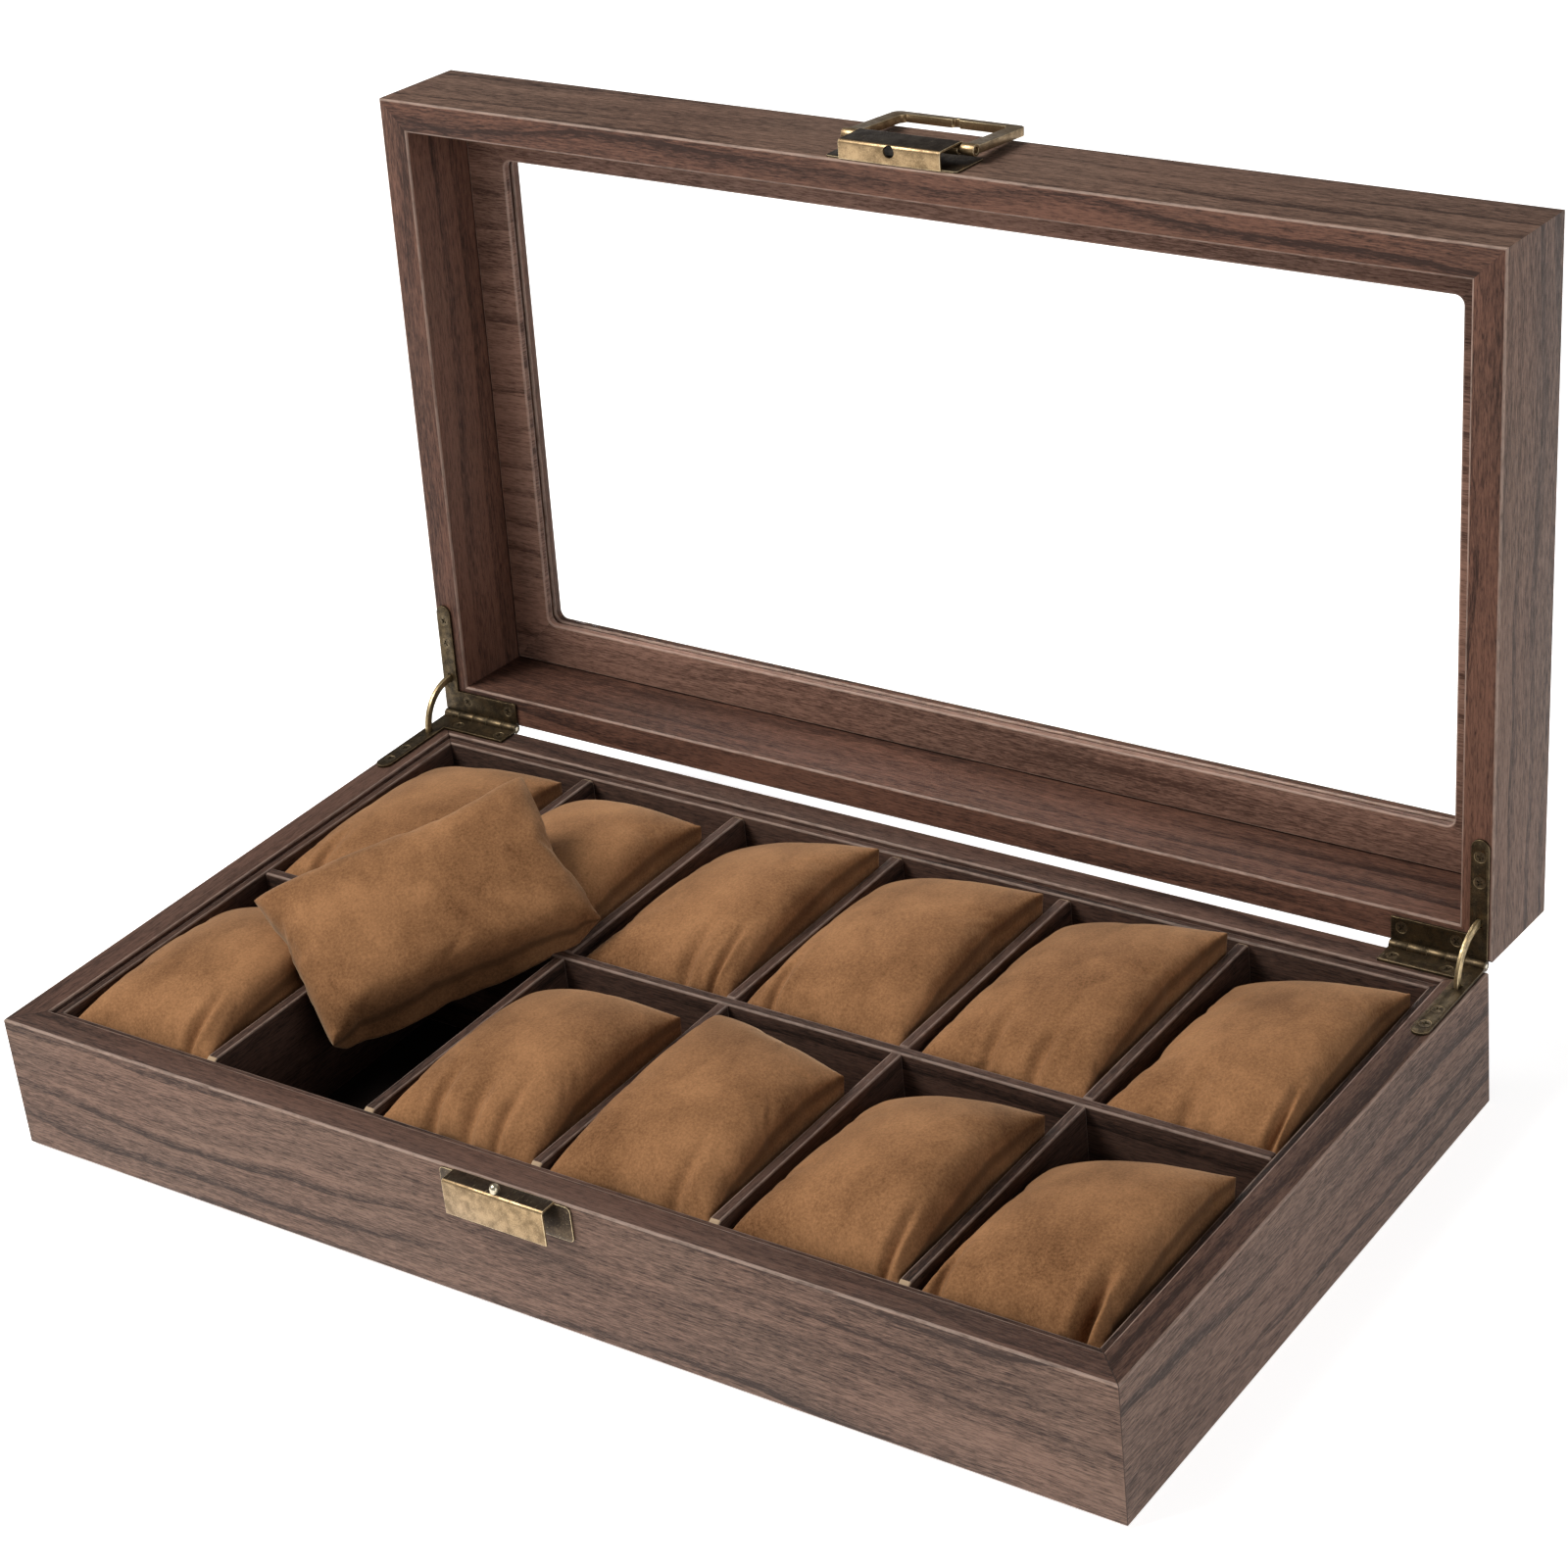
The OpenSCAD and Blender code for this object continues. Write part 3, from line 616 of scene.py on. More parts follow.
def new_mesh(source=None):
    """A bmesh that can mark its edge and seam faces, empty or with a mesh's faces."""
    bm = bmesh.new()
    if source:
        bm.from_mesh(source)
    for name in ("edge", "seam"):
        bm.faces.layers.float.new(name)
    return bm


def sharp_edges(bm, angle=30.0):
    """The convex edges that turn by more than the angle."""
    limit = math.radians(angle)
    return [e for e in bm.edges
            if len(e.link_faces) == 2 and e.is_convex and e.calc_face_angle(0) > limit]


def round_edges(bm, edges, width, segments=3, mark="edge"):
    """Rounds the edges and marks the new faces."""
    made = bmesh.ops.bevel(
        bm, geom=edges, offset=width, offset_type="OFFSET", segments=segments,
        profile=0.5, affect="EDGES", clamp_overlap=True)
    layer = bm.faces.layers.float[mark]
    for face in made["faces"]:
        face[layer] = 1.0


def add_grain(bm, seed, crosswise=False):
    """Stores where each face lies on its board: along, across and a number for the board."""
    bm.normal_update()
    layer = bm.loops.layers.float_vector.new("grain")
    for face in bm.faces:
        n = face.normal
        for loop in face.loops:
            x, y, z = loop.vert.co
            if abs(n.x) > max(abs(n.y), abs(n.z)):
                x, across = z, y
            else:
                across = z if abs(n.y) > abs(n.z) else y + RIM_Z
            place = (across, x) if crosswise else (x, across)
            loop[layer] = (place[0] * MM, place[1] * MM, seed * GRAIN_STEP * MM)


def as_mesh(bm, name):
    mesh = bpy.data.meshes.new(name)
    bm.to_mesh(mesh)
    bm.free()
    return mesh


def to_mesh(bm, name, place=UNTURNED):
    """The finished mesh in metres, turned and moved by a matrix in metres."""
    mesh = as_mesh(bm, name)
    mesh.transform(place @ Matrix.Scale(MM, 4))
    return mesh


def join(meshes):
    """One bmesh from several meshes."""
    bm = bmesh.new()
    for mesh in meshes:
        bm.from_mesh(mesh)
        bpy.data.meshes.remove(mesh)
    return bm


def carve(mesh, cutters):
    """Cuts other closed meshes out of one, all in millimetres as bmesh."""
    board, *others = [place_object("carving", as_mesh(bm, "carving")) for bm in (mesh, *cutters)]
    for cutter in others:
        step = board.modifiers.new("cut", "BOOLEAN")
        step.operation, step.solver, step.object = "DIFFERENCE", "EXACT", cutter
    result = join([evaluated(board, "carved")])
    for cutter in others:
        bpy.data.meshes.remove(cutter.data)
    return result


def block(lo, hi):
    bm = new_mesh()
    for vert in bmesh.ops.create_cube(bm, size=1.0)["verts"]:
        vert.co = [lo[i] if vert.co[i] < 0 else hi[i] for i in range(3)]
    return bm


def rod(centre, radius, length, lying=UNTURNED):
    bm = new_mesh()
    bmesh.ops.create_cone(bm, cap_ends=True, segments=32, radius1=radius, radius2=radius,
                          depth=length, matrix=Matrix.Translation(centre) @ lying)
    return bm


def extruded(outline, depth, axis="y"):
    """A plate from a closed outline in (u, z), centred on the axis it is extruded along."""
    bm = new_mesh()
    rings = []
    for side in (-depth / 2, depth / 2):
        places = [(u, side, z) if axis == "y" else (side, u, z) for u, z in outline]
        rings.append([bm.verts.new(p) for p in places])
    for i in range(len(outline)):
        j = (i + 1) % len(outline)
        bm.faces.new((rings[0][i], rings[0][j], rings[1][j], rings[1][i]))
    for ring in rings:
        bm.faces.new(ring)
    bmesh.ops.recalc_face_normals(bm, faces=bm.faces)
    return bm


def arc(centre, radius, start, end, count):
    return [(centre[0] + radius * math.cos(math.radians(start + (end - start) * k / count)),
             centre[1] + radius * math.sin(math.radians(start + (end - start) * k / count)))
            for k in range(count + 1)]


def add_piece(name, mesh, body, slot, nodes, materials=None, smooth=40.0):
    """Links a finished mesh as a piece that rides on a body and stands for CAD nodes."""
    obj = place_object(name, mesh)
    if not mesh.materials:
        for item in materials or [slot]:
            mesh.materials.append(material(item))
    mesh.shade_smooth()
    if smooth:
        mesh.set_sharp_from_angle(angle=math.radians(smooth))
    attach(obj, body)
    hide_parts(*nodes)
    return obj


def dress(finishes):
    """Gives CAD nodes that keep their shape better materials."""
    for node, finish in finishes.items():
        slots = frame["nodes"][node].data.materials
        slots.clear()
        slots.append(material(finish))


# ---------------- boards


def slab(outer, inner, low, high, radius=0):
    """The section of a plain board: depth from the outer face, height, corner radius."""
    return [(outer, low, 0), (inner, low, radius), (inner, high, radius), (outer, high, 0)]


def mitred_board(half_len, face, profile):
    """A board along X with ends cut at 45 degrees, and a section like that of a slab."""
    bm = new_mesh()
    steps = 6
    rows = []
    for depth, z, radius in profile:
        row = []
        for side in (-1, 1):
            cx, cy = half_len - depth - radius, face - depth - radius
            angles = [math.radians(45 * k / steps) for k in range(steps + 1)]
            row += [(side * (cx + radius * math.sin(a)), -(cy + radius * math.cos(a)), z)
                    for a in (angles if side > 0 else reversed(angles))]
        rows.append([bm.verts.new(p) for p in row])
    for i, row in enumerate(rows):
        other = rows[(i + 1) % len(rows)]
        for k in range(len(row) - 1):
            bm.faces.new((row[k], row[k + 1], other[k + 1], other[k]))
    bm.faces.new([row[0] for row in rows])
    bm.faces.new([row[-1] for row in reversed(rows)])
    bmesh.ops.remove_doubles(bm, verts=bm.verts, dist=1e-4)
    bmesh.ops.recalc_face_normals(bm, faces=bm.faces)
    return bm


def finish_board(bm, rounding, seed, crosswise):
    """Rounds the long edges, then opens a fine groove along the mitres, and adds the grain."""
    def is_cap(face):
        n = face.normal
        return abs(abs(n.x) - abs(n.y)) < 0.02 and abs(n.z) < 0.02 and len(face.verts) > 3

    long_edges = [e for e in sharp_edges(bm) if not any(is_cap(f) for f in e.link_faces)]
    round_edges(bm, long_edges, rounding)
    bm.normal_update()
    joints = [e for e in bm.edges if sum(is_cap(f) for f in e.link_faces) == 1]
    round_edges(bm, joints, size_mm("mitre_gap"), 1, "seam")
    add_grain(bm, seed, crosswise)


def turned(side):
    return turn(SIDES[side], "Z")


def four_boards(profile, rounding, first_seed, inset=0.0, cross_sides=()):
    """The boards of a mitred frame, one by one with their sides, each along X."""
    for seed, side in enumerate(SIDES):
        half_len, face = BOX_W / 2, BOX_D / 2
        if side in ("left", "right"):
            half_len, face = face, half_len
        bm = mitred_board(half_len - inset, face - inset, profile)
        finish_board(bm, rounding, seed + first_seed, side in cross_sides)
        yield side, bm


def hinge_cutters(half, side):
    """The room for stays and knuckles in one half of the closed box, seen from a side."""
    made = []
    up = 1 if half == "base" else -1
    for hand in (-1, 1):
        x0, x1 = sorted((hand * abs(STAY_LO[0]), hand * abs(STAY_HI[0])))
        z0, z1 = sorted((AXIS_Z - up * POCKET_DEPTH, AXIS_Z))
        made.append(block((x0 - POCKET_PLAY, AXIS_Y - POCKET_FAR, z0),
                          (x1 + POCKET_PLAY, AXIS_Y - POCKET_NEAR, z1)))
        length = abs(LEAF_HI[0] - LEAF_LO[0]) + RELIEF_PLAY
        made.append(rod((hand * (BOX_W / 2 - length / 2), AXIS_Y, AXIS_Z), RELIEF_R, length,
                        turn(90, "Y")))
    for bm in made:
        bm.transform(turned(side).inverted())
    return made


def wrapped_walls(half, kind, profile, first_seed, inner_wrap, place=UNTURNED):
    """Adds the four outer boards of the base or lid, with a second, darker wrap on their inner faces and
    rims that paints shade there.
    """
    for side, bm in four_boards(profile, size_mm("rim_round"), first_seed):
        if side != "front":
            bm = carve(bm, hinge_cutters(half, side))
        bm.normal_update()
        for face in bm.faces:
            n = face.normal
            outer = n.y < -0.3 or (n.z > 0.3 if half == "lid" else n.z < -0.5)
            face.material_index = 0 if outer else 1
        name = f"{half}_{side}_{kind}"
        add_piece(name + "_wrapped", to_mesh(bm, name, place @ turned(side)), half, "wall_wrap",
                  [name], ["wall_wrap", inner_wrap])


def board_outline(length, low, high, end_round, below=(), above=()):
    """A board seen from its side, with rounded top corners and laps cut from below or above."""
    def laps(places, edge, half_w):
        return [point for x in places for point in (
            (x - half_w, edge), (x - half_w, LAP_END), (x + half_w, LAP_END), (x + half_w, edge))]

    half, top = length / 2, high - end_round
    return [(-half, low), *laps(below, low, LAP_W / 2), (half, low),
            *arc((half - end_round, top), end_round, 0, 90, 6), *laps(above, high, -LAP_W / 2),
            *arc((-half + end_round, top), end_round, 90, 180, 6)]


def mark_raw_ends(mesh):
    """Gives the faces at the rounded top ends of a cross divider the look of raw board."""
    for face in mesh.polygons:
        place = face.center / MM
        at_end = abs(place.y) > INNER_D / 2 - RAW_END and place.z > RIM_Z - RAW_DEPTH
        if at_end and abs(face.normal.y) > 0.25:
            face.material_index = 1


def row_of_boards(name, mesh, places):
    """The same board at even places along X, with its own grain at each, by Geometry Nodes."""
    tree, given, out, ids = new_tree("Geometry", "row of boards", {
        "Geometry": "Geometry", "Count": "Int", "Start": "Float", "Pitch": "Float"},
        {"Geometry": "Geometry"})
    tree.is_modifier = True
    line = wired(tree, "GeometryNodeMeshLine", {
        "Count": given["Count"], "Start Location": combine(given["Start"], 0.0, 0.0),
        "Offset": combine(given["Pitch"], 0.0, 0.0)})
    placed = wired(tree, "GeometryNodeInstanceOnPoints", {
        "Points": line, "Instance": given["Geometry"]})
    solid = wired(tree, "GeometryNodeRealizeInstances", {"Geometry": placed})
    grain = wired(tree, "GeometryNodeInputNamedAttribute", {"Name": "grain"},
                  data_type="FLOAT_VECTOR")
    x = split(wired(tree, "GeometryNodeInputPosition"))[0]
    number = ((x - given["Start"]) / given["Pitch"]).calc("ROUND")
    stored = wired(tree, "GeometryNodeStoreNamedAttribute", {
        "Geometry": solid, "Name": "grain",
        "Value": vector_math("ADD", grain, {1: combine(0.0, 0.0, number * ROW_STEP * MM)})},
        data_type="FLOAT_VECTOR", domain="CORNER")
    raw = wired(tree, "FunctionNodeCompare", {
        "A": wired(tree, "GeometryNodeInputMaterialIndex"), "B": 0},
        data_type="INT", operation="GREATER_THAN")
    coated = wired(tree, "GeometryNodeSetMaterial", {
        "Geometry": stored, "Selection": raw, "Material": material("raw_end")})
    plug(out[0], coated)
    return grown(name, mesh, tree, {
        ids["Count"]: len(places), ids["Start"]: float(places[0] * MM),
        ids["Pitch"]: float((places[1] - places[0]) * MM)})


# ---------------- operators

CAMERA_PLACE = (496.1, -618.9, 527.0)
# Degrees to the left of +Y, down from level, and about the view
CAMERA_YAW = 37.26
CAMERA_DOWN = 28.46
CAMERA_ROLL = -6.27
# Place, size, power and tint of the lights, which aim at the middle of the box, all in metres
LIGHTS = {
    "key": ((-0.85, -0.7, 1.5), 0.9, "key_power", (1.0, 0.985, 0.965)),
    "fill": ((1.5, -0.6, 0.5), 1.0, "fill_power", (0.97, 0.98, 1.0)),
}
LIGHTS_AIM = Vector((0.0, 0.0, 0.08))
# Half the side of the studio floor and its height, in millimetres
STUDIO_HALF = 6000.0
STUDIO_Z = -0.05


class WATCHBOX_OT_stage(bpy.types.Operator):
    """Sets up the camera, the studio lights and the pale floor"""
    bl_idname = "watchbox.stage"
    bl_label = "Stage"

    def execute(self, context):
        scene, look = context.scene, context.scene.watch_box_stage
        camera = place_object("camera", bpy.data.cameras.new("camera"))
        camera.data.sensor_width, camera.data.lens = 36.0, look.lens
        camera.data.clip_start, camera.data.clip_end = 0.01, 50.0
        camera.matrix_world = (
            shift_mm(*CAMERA_PLACE) @ turn(CAMERA_YAW, "Z") @ turn(90 - CAMERA_DOWN, "X")
            @ turn(CAMERA_ROLL, "Z"))
        scene.camera = camera
        scene.view_settings.view_transform = "Standard"

        scene.world = world = bpy.data.worlds.new("white surround")
        world.use_nodes = True
        background = world.node_tree.nodes["Background"]
        background.inputs["Color"].default_value = (1.0, 0.99, 0.985, 1.0)
        plug(background.inputs["Strength"],
             seen_level(world.node_tree, 0.95, look.surround, ("Camera", "Transmission")))
        for name, (place, size, power, tint) in LIGHTS.items():
            light = bpy.data.lights.new(name, "AREA")
            light.shape, light.size, light.color = "SQUARE", size, tint
            light.energy = getattr(look, power)
            aim = (Vector(place) - LIGHTS_AIM).to_track_quat("Z", "Y")
            place_object(name, light).matrix_world = (
                Matrix.Translation(place) @ aim.to_matrix().to_4x4())

        bm = bmesh.new()
        bmesh.ops.create_grid(bm, x_segments=2, y_segments=2, size=STUDIO_HALF,
                              matrix=Matrix.Translation((0, 0, STUDIO_Z)))
        floor = place_object("studio_floor", to_mesh(bm, "studio_floor"))
        floor.data.materials.append(material("studio_floor"))
        return {"FINISHED"}


class WATCHBOX_OT_base_walls(bpy.types.Operator):
    """Makes the four wrapped boards of the base"""
    bl_idname = "watchbox.base_walls"
    bl_label = "Base walls"

    def execute(self, context):
        # The rims and inner faces take the darker rim wrap, which paints shade there
        wrapped_walls("base", "wall", slab(0, WALL_T, FLOOR_LO[2], RIM_Z), 0, "rim_wrap")
        return {"FINISHED"}


class WATCHBOX_OT_lid_rails(bpy.types.Operator):
    """Makes the four L-shaped rails of the lid, standing open"""
    bl_idname = "watchbox.lid_rails"
    bl_label = "Lid rails"

    def execute(self, context):
        wall = slab(0, WALL_T, RAIL_LO[2], PANE_TOP)[:3]
        border = slab(0, BORDER, PANE_TOP, RAIL_HI[2], WINDOW_R)[1:]
        wrapped_walls("lid", "rail", wall + border, 5, "inner_wrap", OPENED)
        return {"FINISHED"}


class WATCHBOX_OT_glazing(bpy.types.Operator):
    """Finishes the glass and makes the frame that holds it from inside"""
    bl_idname = "watchbox.glazing"
    bl_label = "Glazing"

    def execute(self, context):
        section = slab(RETAINER_LO[0] - RAIL_LO[0], BORDER, RETAINER_LO[2], RETAINER_HI[2],
                       WINDOW_R)
        boards = [
            to_mesh(bm, "retainer", OPENED @ turned(side)) for side, bm in four_boards(
                section, RETAINER_ROUND, 11, cross_sides=("left", "right"))]
        # The frame takes the lighter frame wrap, which paints the light falling on it
        add_piece("glass_retainer_wrapped", as_mesh(join(boards), "glass_retainer"), "lid",
                  "insert_wrap", ["glass_retainer"], ["frame_wrap"])
        dress({"glass_pane": "glass"})
        return {"FINISHED"}


class WATCHBOX_OT_bottom(bpy.types.Operator):
    """Finishes the bottom board, its lining and the felt under the box"""
    bl_idname = "watchbox.bottom"
    bl_label = "Bottom"

    def execute(self, context):
        dress({"base_floor": "bottom_board", "floor_lining": "floor_lining",
               "underside_felt": "felt"})
        return {"FINISHED"}


class WATCHBOX_OT_insert(bpy.types.Operator):
    """Makes the liners and the dividers of the compartments"""
    bl_idname = "watchbox.insert"
    bl_label = "Liners and dividers"

    def execute(self, context):
        rounding = size_mm("insert_round")
        section = slab(0, LINER_T, LINER_LO[2], LINER_HI[2])
        for side, bm in four_boards(section, rounding, 21, WALL_T):
            name = f"liner_{side}"
            add_piece(name + "_wrapped", to_mesh(bm, name, turned(side)), "base", "insert_wrap",
                      [name])

        places = [CROSS_LO[0] + DIVIDER_T / 2 + (CELL_W + DIVIDER_T) * k
                  for k in range(COLUMNS - 1)]

        def divider(outline, seed):
            bm = extruded(outline, DIVIDER_T)
            round_edges(bm, sharp_edges(bm), rounding)
            add_grain(bm, seed)
            return bm

        bm = divider(board_outline(INNER_W, LONG_LO[2], LONG_HI[2], LONG_END_ROUND, places), 31)
        add_piece("long_divider_wrapped", to_mesh(bm, "long_divider"), "base", "insert_wrap",
                  ["long_divider"])
        bm = divider(board_outline(
            INNER_D, CROSS_LO[2], CROSS_HI[2], CROSS_END_ROUND, above=[0.0]), 37)
        mesh = to_mesh(bm, "cross_divider", turn(90, "Z"))
        mark_raw_ends(mesh)
        for item in ("insert_wrap", "raw_end"):
            mesh.materials.append(material(item))
        row = row_of_boards("cross_dividers", mesh, places)
        add_piece("cross_dividers_wrapped", row, "base", "insert_wrap",
                  [f"cross_divider_{k + 1}" for k in range(COLUMNS - 1)])
        return {"FINISHED"}


# Points of a CAD node closer than this many millimetres are joined, and faces that lie within
# so many degrees of one plane become one
JOIN_DIST = 0.002
FLAT_ANGLE = 1.0


def refine(node, body, finish, width, segments=2):
    """Adds a CAD node as a piece of metal with its edges rounded."""
    bm = new_mesh(frame["nodes"][node].data)
    bm.transform(Matrix.Scale(1 / MM, 4))
    bmesh.ops.remove_doubles(bm, verts=bm.verts, dist=JOIN_DIST)
    bmesh.ops.dissolve_limit(
        bm, angle_limit=math.radians(FLAT_ANGLE), verts=bm.verts, edges=bm.edges)
    bm.normal_update()
    round_edges(bm, sharp_edges(bm, 35.0), width, segments)
    add_piece(node + "_brass", to_mesh(bm, node), body, finish, [node])


class WATCHBOX_OT_hinges(bpy.types.Operator):
    """Finishes the hinge leaves, their pins and the curved stays"""
    bl_idname = "watchbox.hinges"
    bl_label = "Hinges and stays"

    def execute(self, context):
        for side in ("left", "right"):
            for part, body, finish in (
                    ("base_leaf", "base", "hinge_metal"), ("lid_leaf", "lid", "hinge_metal"),
                    ("pin", "base", "pin_metal"), ("stay", f"stay_{side}", "stay_metal")):
                refine(f"hinge_{part}_{side}", body, finish, size_mm("metal_round"))
        return {"FINISHED"}


# Sizes of a hinge screw, and where the screws sit: distance from the box's side and from the axis
SCREW = {"Head Radius": 1.45, "Head Height": 0.75, "Shank Radius": 0.68, "Length": 5.2,
         "Recess Width": 0.42}
SCREW_PLACES = ((9.0, 5.0), (23.8, 5.0), (3.2, 22.4), (3.2, 29.4))
# How far the head's foot lies under the hinge's axis
SCREW_SINK = 0.88
# The recess against the head: length of its arms, and height of the cutter that makes it
RECESS_LENGTH = 1.25
RECESS_HEIGHT = 1.1
# Radius of the screw's tip in metres, and the share of its length that runs below the head
TIP_R = 0.0002
BELOW_HEAD = 0.999


def screw_tree():
    """Countersunk screws with a cross recess, one at each point."""
    tree, given, out, ids = new_tree("Geometry", "countersunk screws", {
        "Geometry": "Geometry", **dict.fromkeys(SCREW, "Float"), "Material": "Material"},
        {"Geometry": "Geometry"})
    tree.is_modifier = True
    head_r, head_h, shank_r, length, recess = (given[label] for label in SCREW)

    def lifted(geometry, z):
        return wired(tree, "GeometryNodeTransform", {
            "Geometry": geometry, "Translation": combine(0.0, 0.0, z)})

    head = wired(tree, "GeometryNodeMeshCone", {
        "Vertices": 32, "Radius Top": head_r, "Radius Bottom": shank_r, "Depth": head_h})
    shank = wired(tree, "GeometryNodeMeshCone", {
        "Vertices": 16, "Radius Top": shank_r, "Radius Bottom": TIP_R, "Depth": length})
    arm, deep = head_r * RECESS_LENGTH, head_h * RECESS_HEIGHT
    bars = [lifted(wired(tree, "GeometryNodeMeshCube", {"Size": size}), head_h)
            for size in (combine(arm, recess, deep), combine(recess, arm, deep))]
    cross = wired(tree, "GeometryNodeMeshBoolean", {"Mesh 2": bars},
                  operation="UNION", solver="EXACT")
    carved = wired(tree, "GeometryNodeMeshBoolean", {"Mesh 1": head, "Mesh 2": cross},
                   operation="DIFFERENCE", solver="EXACT")
    shank = lifted(shank, length * -BELOW_HEAD)
    whole = wired(tree, "GeometryNodeJoinGeometry", {0: [carved, shank]})
    spin = wired(tree, "FunctionNodeRandomValue", {3: math.pi, "Seed": 4}, 1, data_type="FLOAT")
    placed = wired(tree, "GeometryNodeInstanceOnPoints", {
        "Points": given["Geometry"], "Instance": whole,
        "Rotation": combine(0.0, 0.0, spin)})
    solid = wired(tree, "GeometryNodeRealizeInstances", {"Geometry": placed})
    coated = wired(tree, "GeometryNodeSetMaterial", {
        "Geometry": solid, "Material": given["Material"]})
    plug(out[0], coated)
    return tree, ids


class WATCHBOX_OT_screws(bpy.types.Operator):
    """Sets countersunk screws into the four hinge leaves"""
    bl_idname = "watchbox.screws"
    bl_label = "Hinge screws"

    def execute(self, context):
        tree, ids = screw_tree()
        values = {ids[label]: value * MM for label, value in SCREW.items()}
        values[ids["Material"]] = material("screw_metal")
        points = [(side * (BOX_W / 2 - x) * MM, (AXIS_Y - y) * MM, 0.0)
                  for side in (-1, 1) for x, y in SCREW_PLACES]
        for half in ("base", "lid"):
            node = f"hinge_screws_{half}"
            mesh = bpy.data.meshes.new("screw places")
            mesh.from_pydata(points, [], [])
            made = grown(node, mesh, tree, values)
            made.transform(shift_mm(0, 0, AXIS_Z - SCREW_SINK))
            if half == "lid":
                flip = shift_mm(0, 0, 2 * AXIS_Z) @ Matrix.Scale(-1, 4, (0, 0, 1))
                made.transform(OPENED @ flip)
                made.flip_normals()
            add_piece(node + "_brass", made, half, "pin_metal", [node], ["screw_metal"], 30.0)
        return {"FINISHED"}


# The latch's folded sheets: width of the fold and of the plate behind it, how far the front
# plate stands out, the sheet's thickness, and the radius of its bends and edges
FOLD_W = 30.0
PLATE_W = 39.0
PROUD = 5.3
SHEET_T = 0.6
BEND_R = 1.0
PLATE_R = 1.2
SHEET_ROUND = 0.13
# Gap between the sheet and the wall, height of the back plate's lower edge, and length of the
# cutter that makes the guide pin's hole
WALL_GAP = 0.3
PLATE_LOW = 0.5
HOLE_CUT = 3.0
# Convex edges of the sheets that turn by more than this are rounded
FOLD_ANGLE = 50.0
# The rolled edge around the bail's pin, and how far the pin lies from wall and parting
ROLL_R = 1.75
ROLL_ANGLE = 285
PIVOT_Y = 3.55
PIVOT_H = 9.8
# Height of the front plate and of the back plate, and radius of the guide pin's hole
CATCH = (9.7, 10.3, 0.85)
CASE = (PIVOT_H, 13.6, 1.6)


def fold_outline(front_h, rolled):
    """The sheet's section: ledge, bend and front plate, with a rolled edge if asked for.
    The first number stands out from the wall, the second runs away from the parting."""
    corner = (PROUD - BEND_R, BEND_R)
    outer = [(WALL_GAP, 0.0)] + arc(corner, BEND_R, -90, 0, 5)
    inner = arc(corner, BEND_R - SHEET_T, 0, -90, 4) + [(WALL_GAP, SHEET_T)]
    if rolled:
        pivot = (PIVOT_Y, front_h)
        edge = (arc(pivot, ROLL_R, 0, ROLL_ANGLE, 24)
                + arc(pivot, ROLL_R - SHEET_T, ROLL_ANGLE, 0, 20))
    else:
        edge = [(PROUD, front_h), (PROUD - SHEET_T, front_h)]
    return outer + edge + inner


def plate_outline(width, low, high, radius):
    places = [(side * (width / 2 - radius), z) for side, z in (
        (1, low + radius), (1, high - radius), (-1, high - radius), (-1, low + radius))]
    return [point for k, place in enumerate(places)
            for point in arc(place, radius, 90 * k - 90, 90 * k, 4)]


def latch_sheet(front_h, plate_h, hole_r, rolled):
    """A folded sheet with its back plate, in the latch's own frame, in millimetres."""
    fold = extruded(fold_outline(front_h, rolled), FOLD_W, "x")
    round_edges(fold, sharp_edges(fold, FOLD_ANGLE), SHEET_ROUND, 2)
    fold = carve(fold, [rod((0.0, PIVOT_Y, SHEET_T / 2), hole_r, HOLE_CUT)])
    # Material 1 is the dark plate brass, painted shade and dark reflection: the catch ledge's top, the
    # case's front, and below, the back plate in the fold's shadow
    for face in fold.faces:
        middle = face.calc_center_median()
        face.material_index = int(abs(middle.y - PROUD if rolled else middle.z) < 0.05)
    plate = extruded(plate_outline(PLATE_W, PLATE_LOW, plate_h, PLATE_R), SHEET_T)
    plate.transform(Matrix.Translation((0.0, SHEET_T / 2, 0.0)))
    round_edges(plate, sharp_edges(plate, FOLD_ANGLE), SHEET_ROUND, 2)
    for face in plate.faces:
        face.material_index = 1
    return join([as_mesh(fold, "fold"), as_mesh(plate, "plate")])


class WATCHBOX_OT_latch(bpy.types.Operator):
    """Makes the catch, its guide pin, the case and the bail"""
    bl_idname = "watchbox.latch"
    bl_label = "Latch"

    def execute(self, context):
        at_catch = shift_mm(0, -BOX_D / 2, RIM_Z) @ turn(180, "X")
        at_case = shift_mm(0, -BOX_D / 2, RAIL_LO[2]) @ Matrix.Scale(-1, 4, (0, 1, 0))
        for node, body, sheet, place in (
                ("latch_catch", "base", CATCH, at_catch),
                ("latch_case", "lid", CASE, OPENED @ at_case)):
            mesh = to_mesh(latch_sheet(*sheet, rolled=body == "lid"), node, place)
            if place.is_negative:
                mesh.flip_normals()
            add_piece(node + "_brass", mesh, body, "latch_metal", [node],
                      ["latch_metal", "plate_metal"])
        refine("latch_bail", "bail", "latch_metal", 0.35)
        refine("latch_guide_pin", "base", "pin_metal", 0.05)
        refine("latch_bail_pin", "lid", "latch_metal", 0.2)
        dress({"latch_catch_nails": "screw_metal", "latch_case_nails": "screw_metal"})
        return {"FINISHED"}


# ---------------- pillows

# How much larger the cloth is simulated, the frames that takes, the step of its mesh and the
# start of its bulge in millimetres, and the bow of its sides
CLOTH_SCALE = 10.0
CLOTH_FRAMES = 24
CLOTH_STEP = 1.1
CLOTH_BULGE = 3
CLOTH_BOW = 0.05
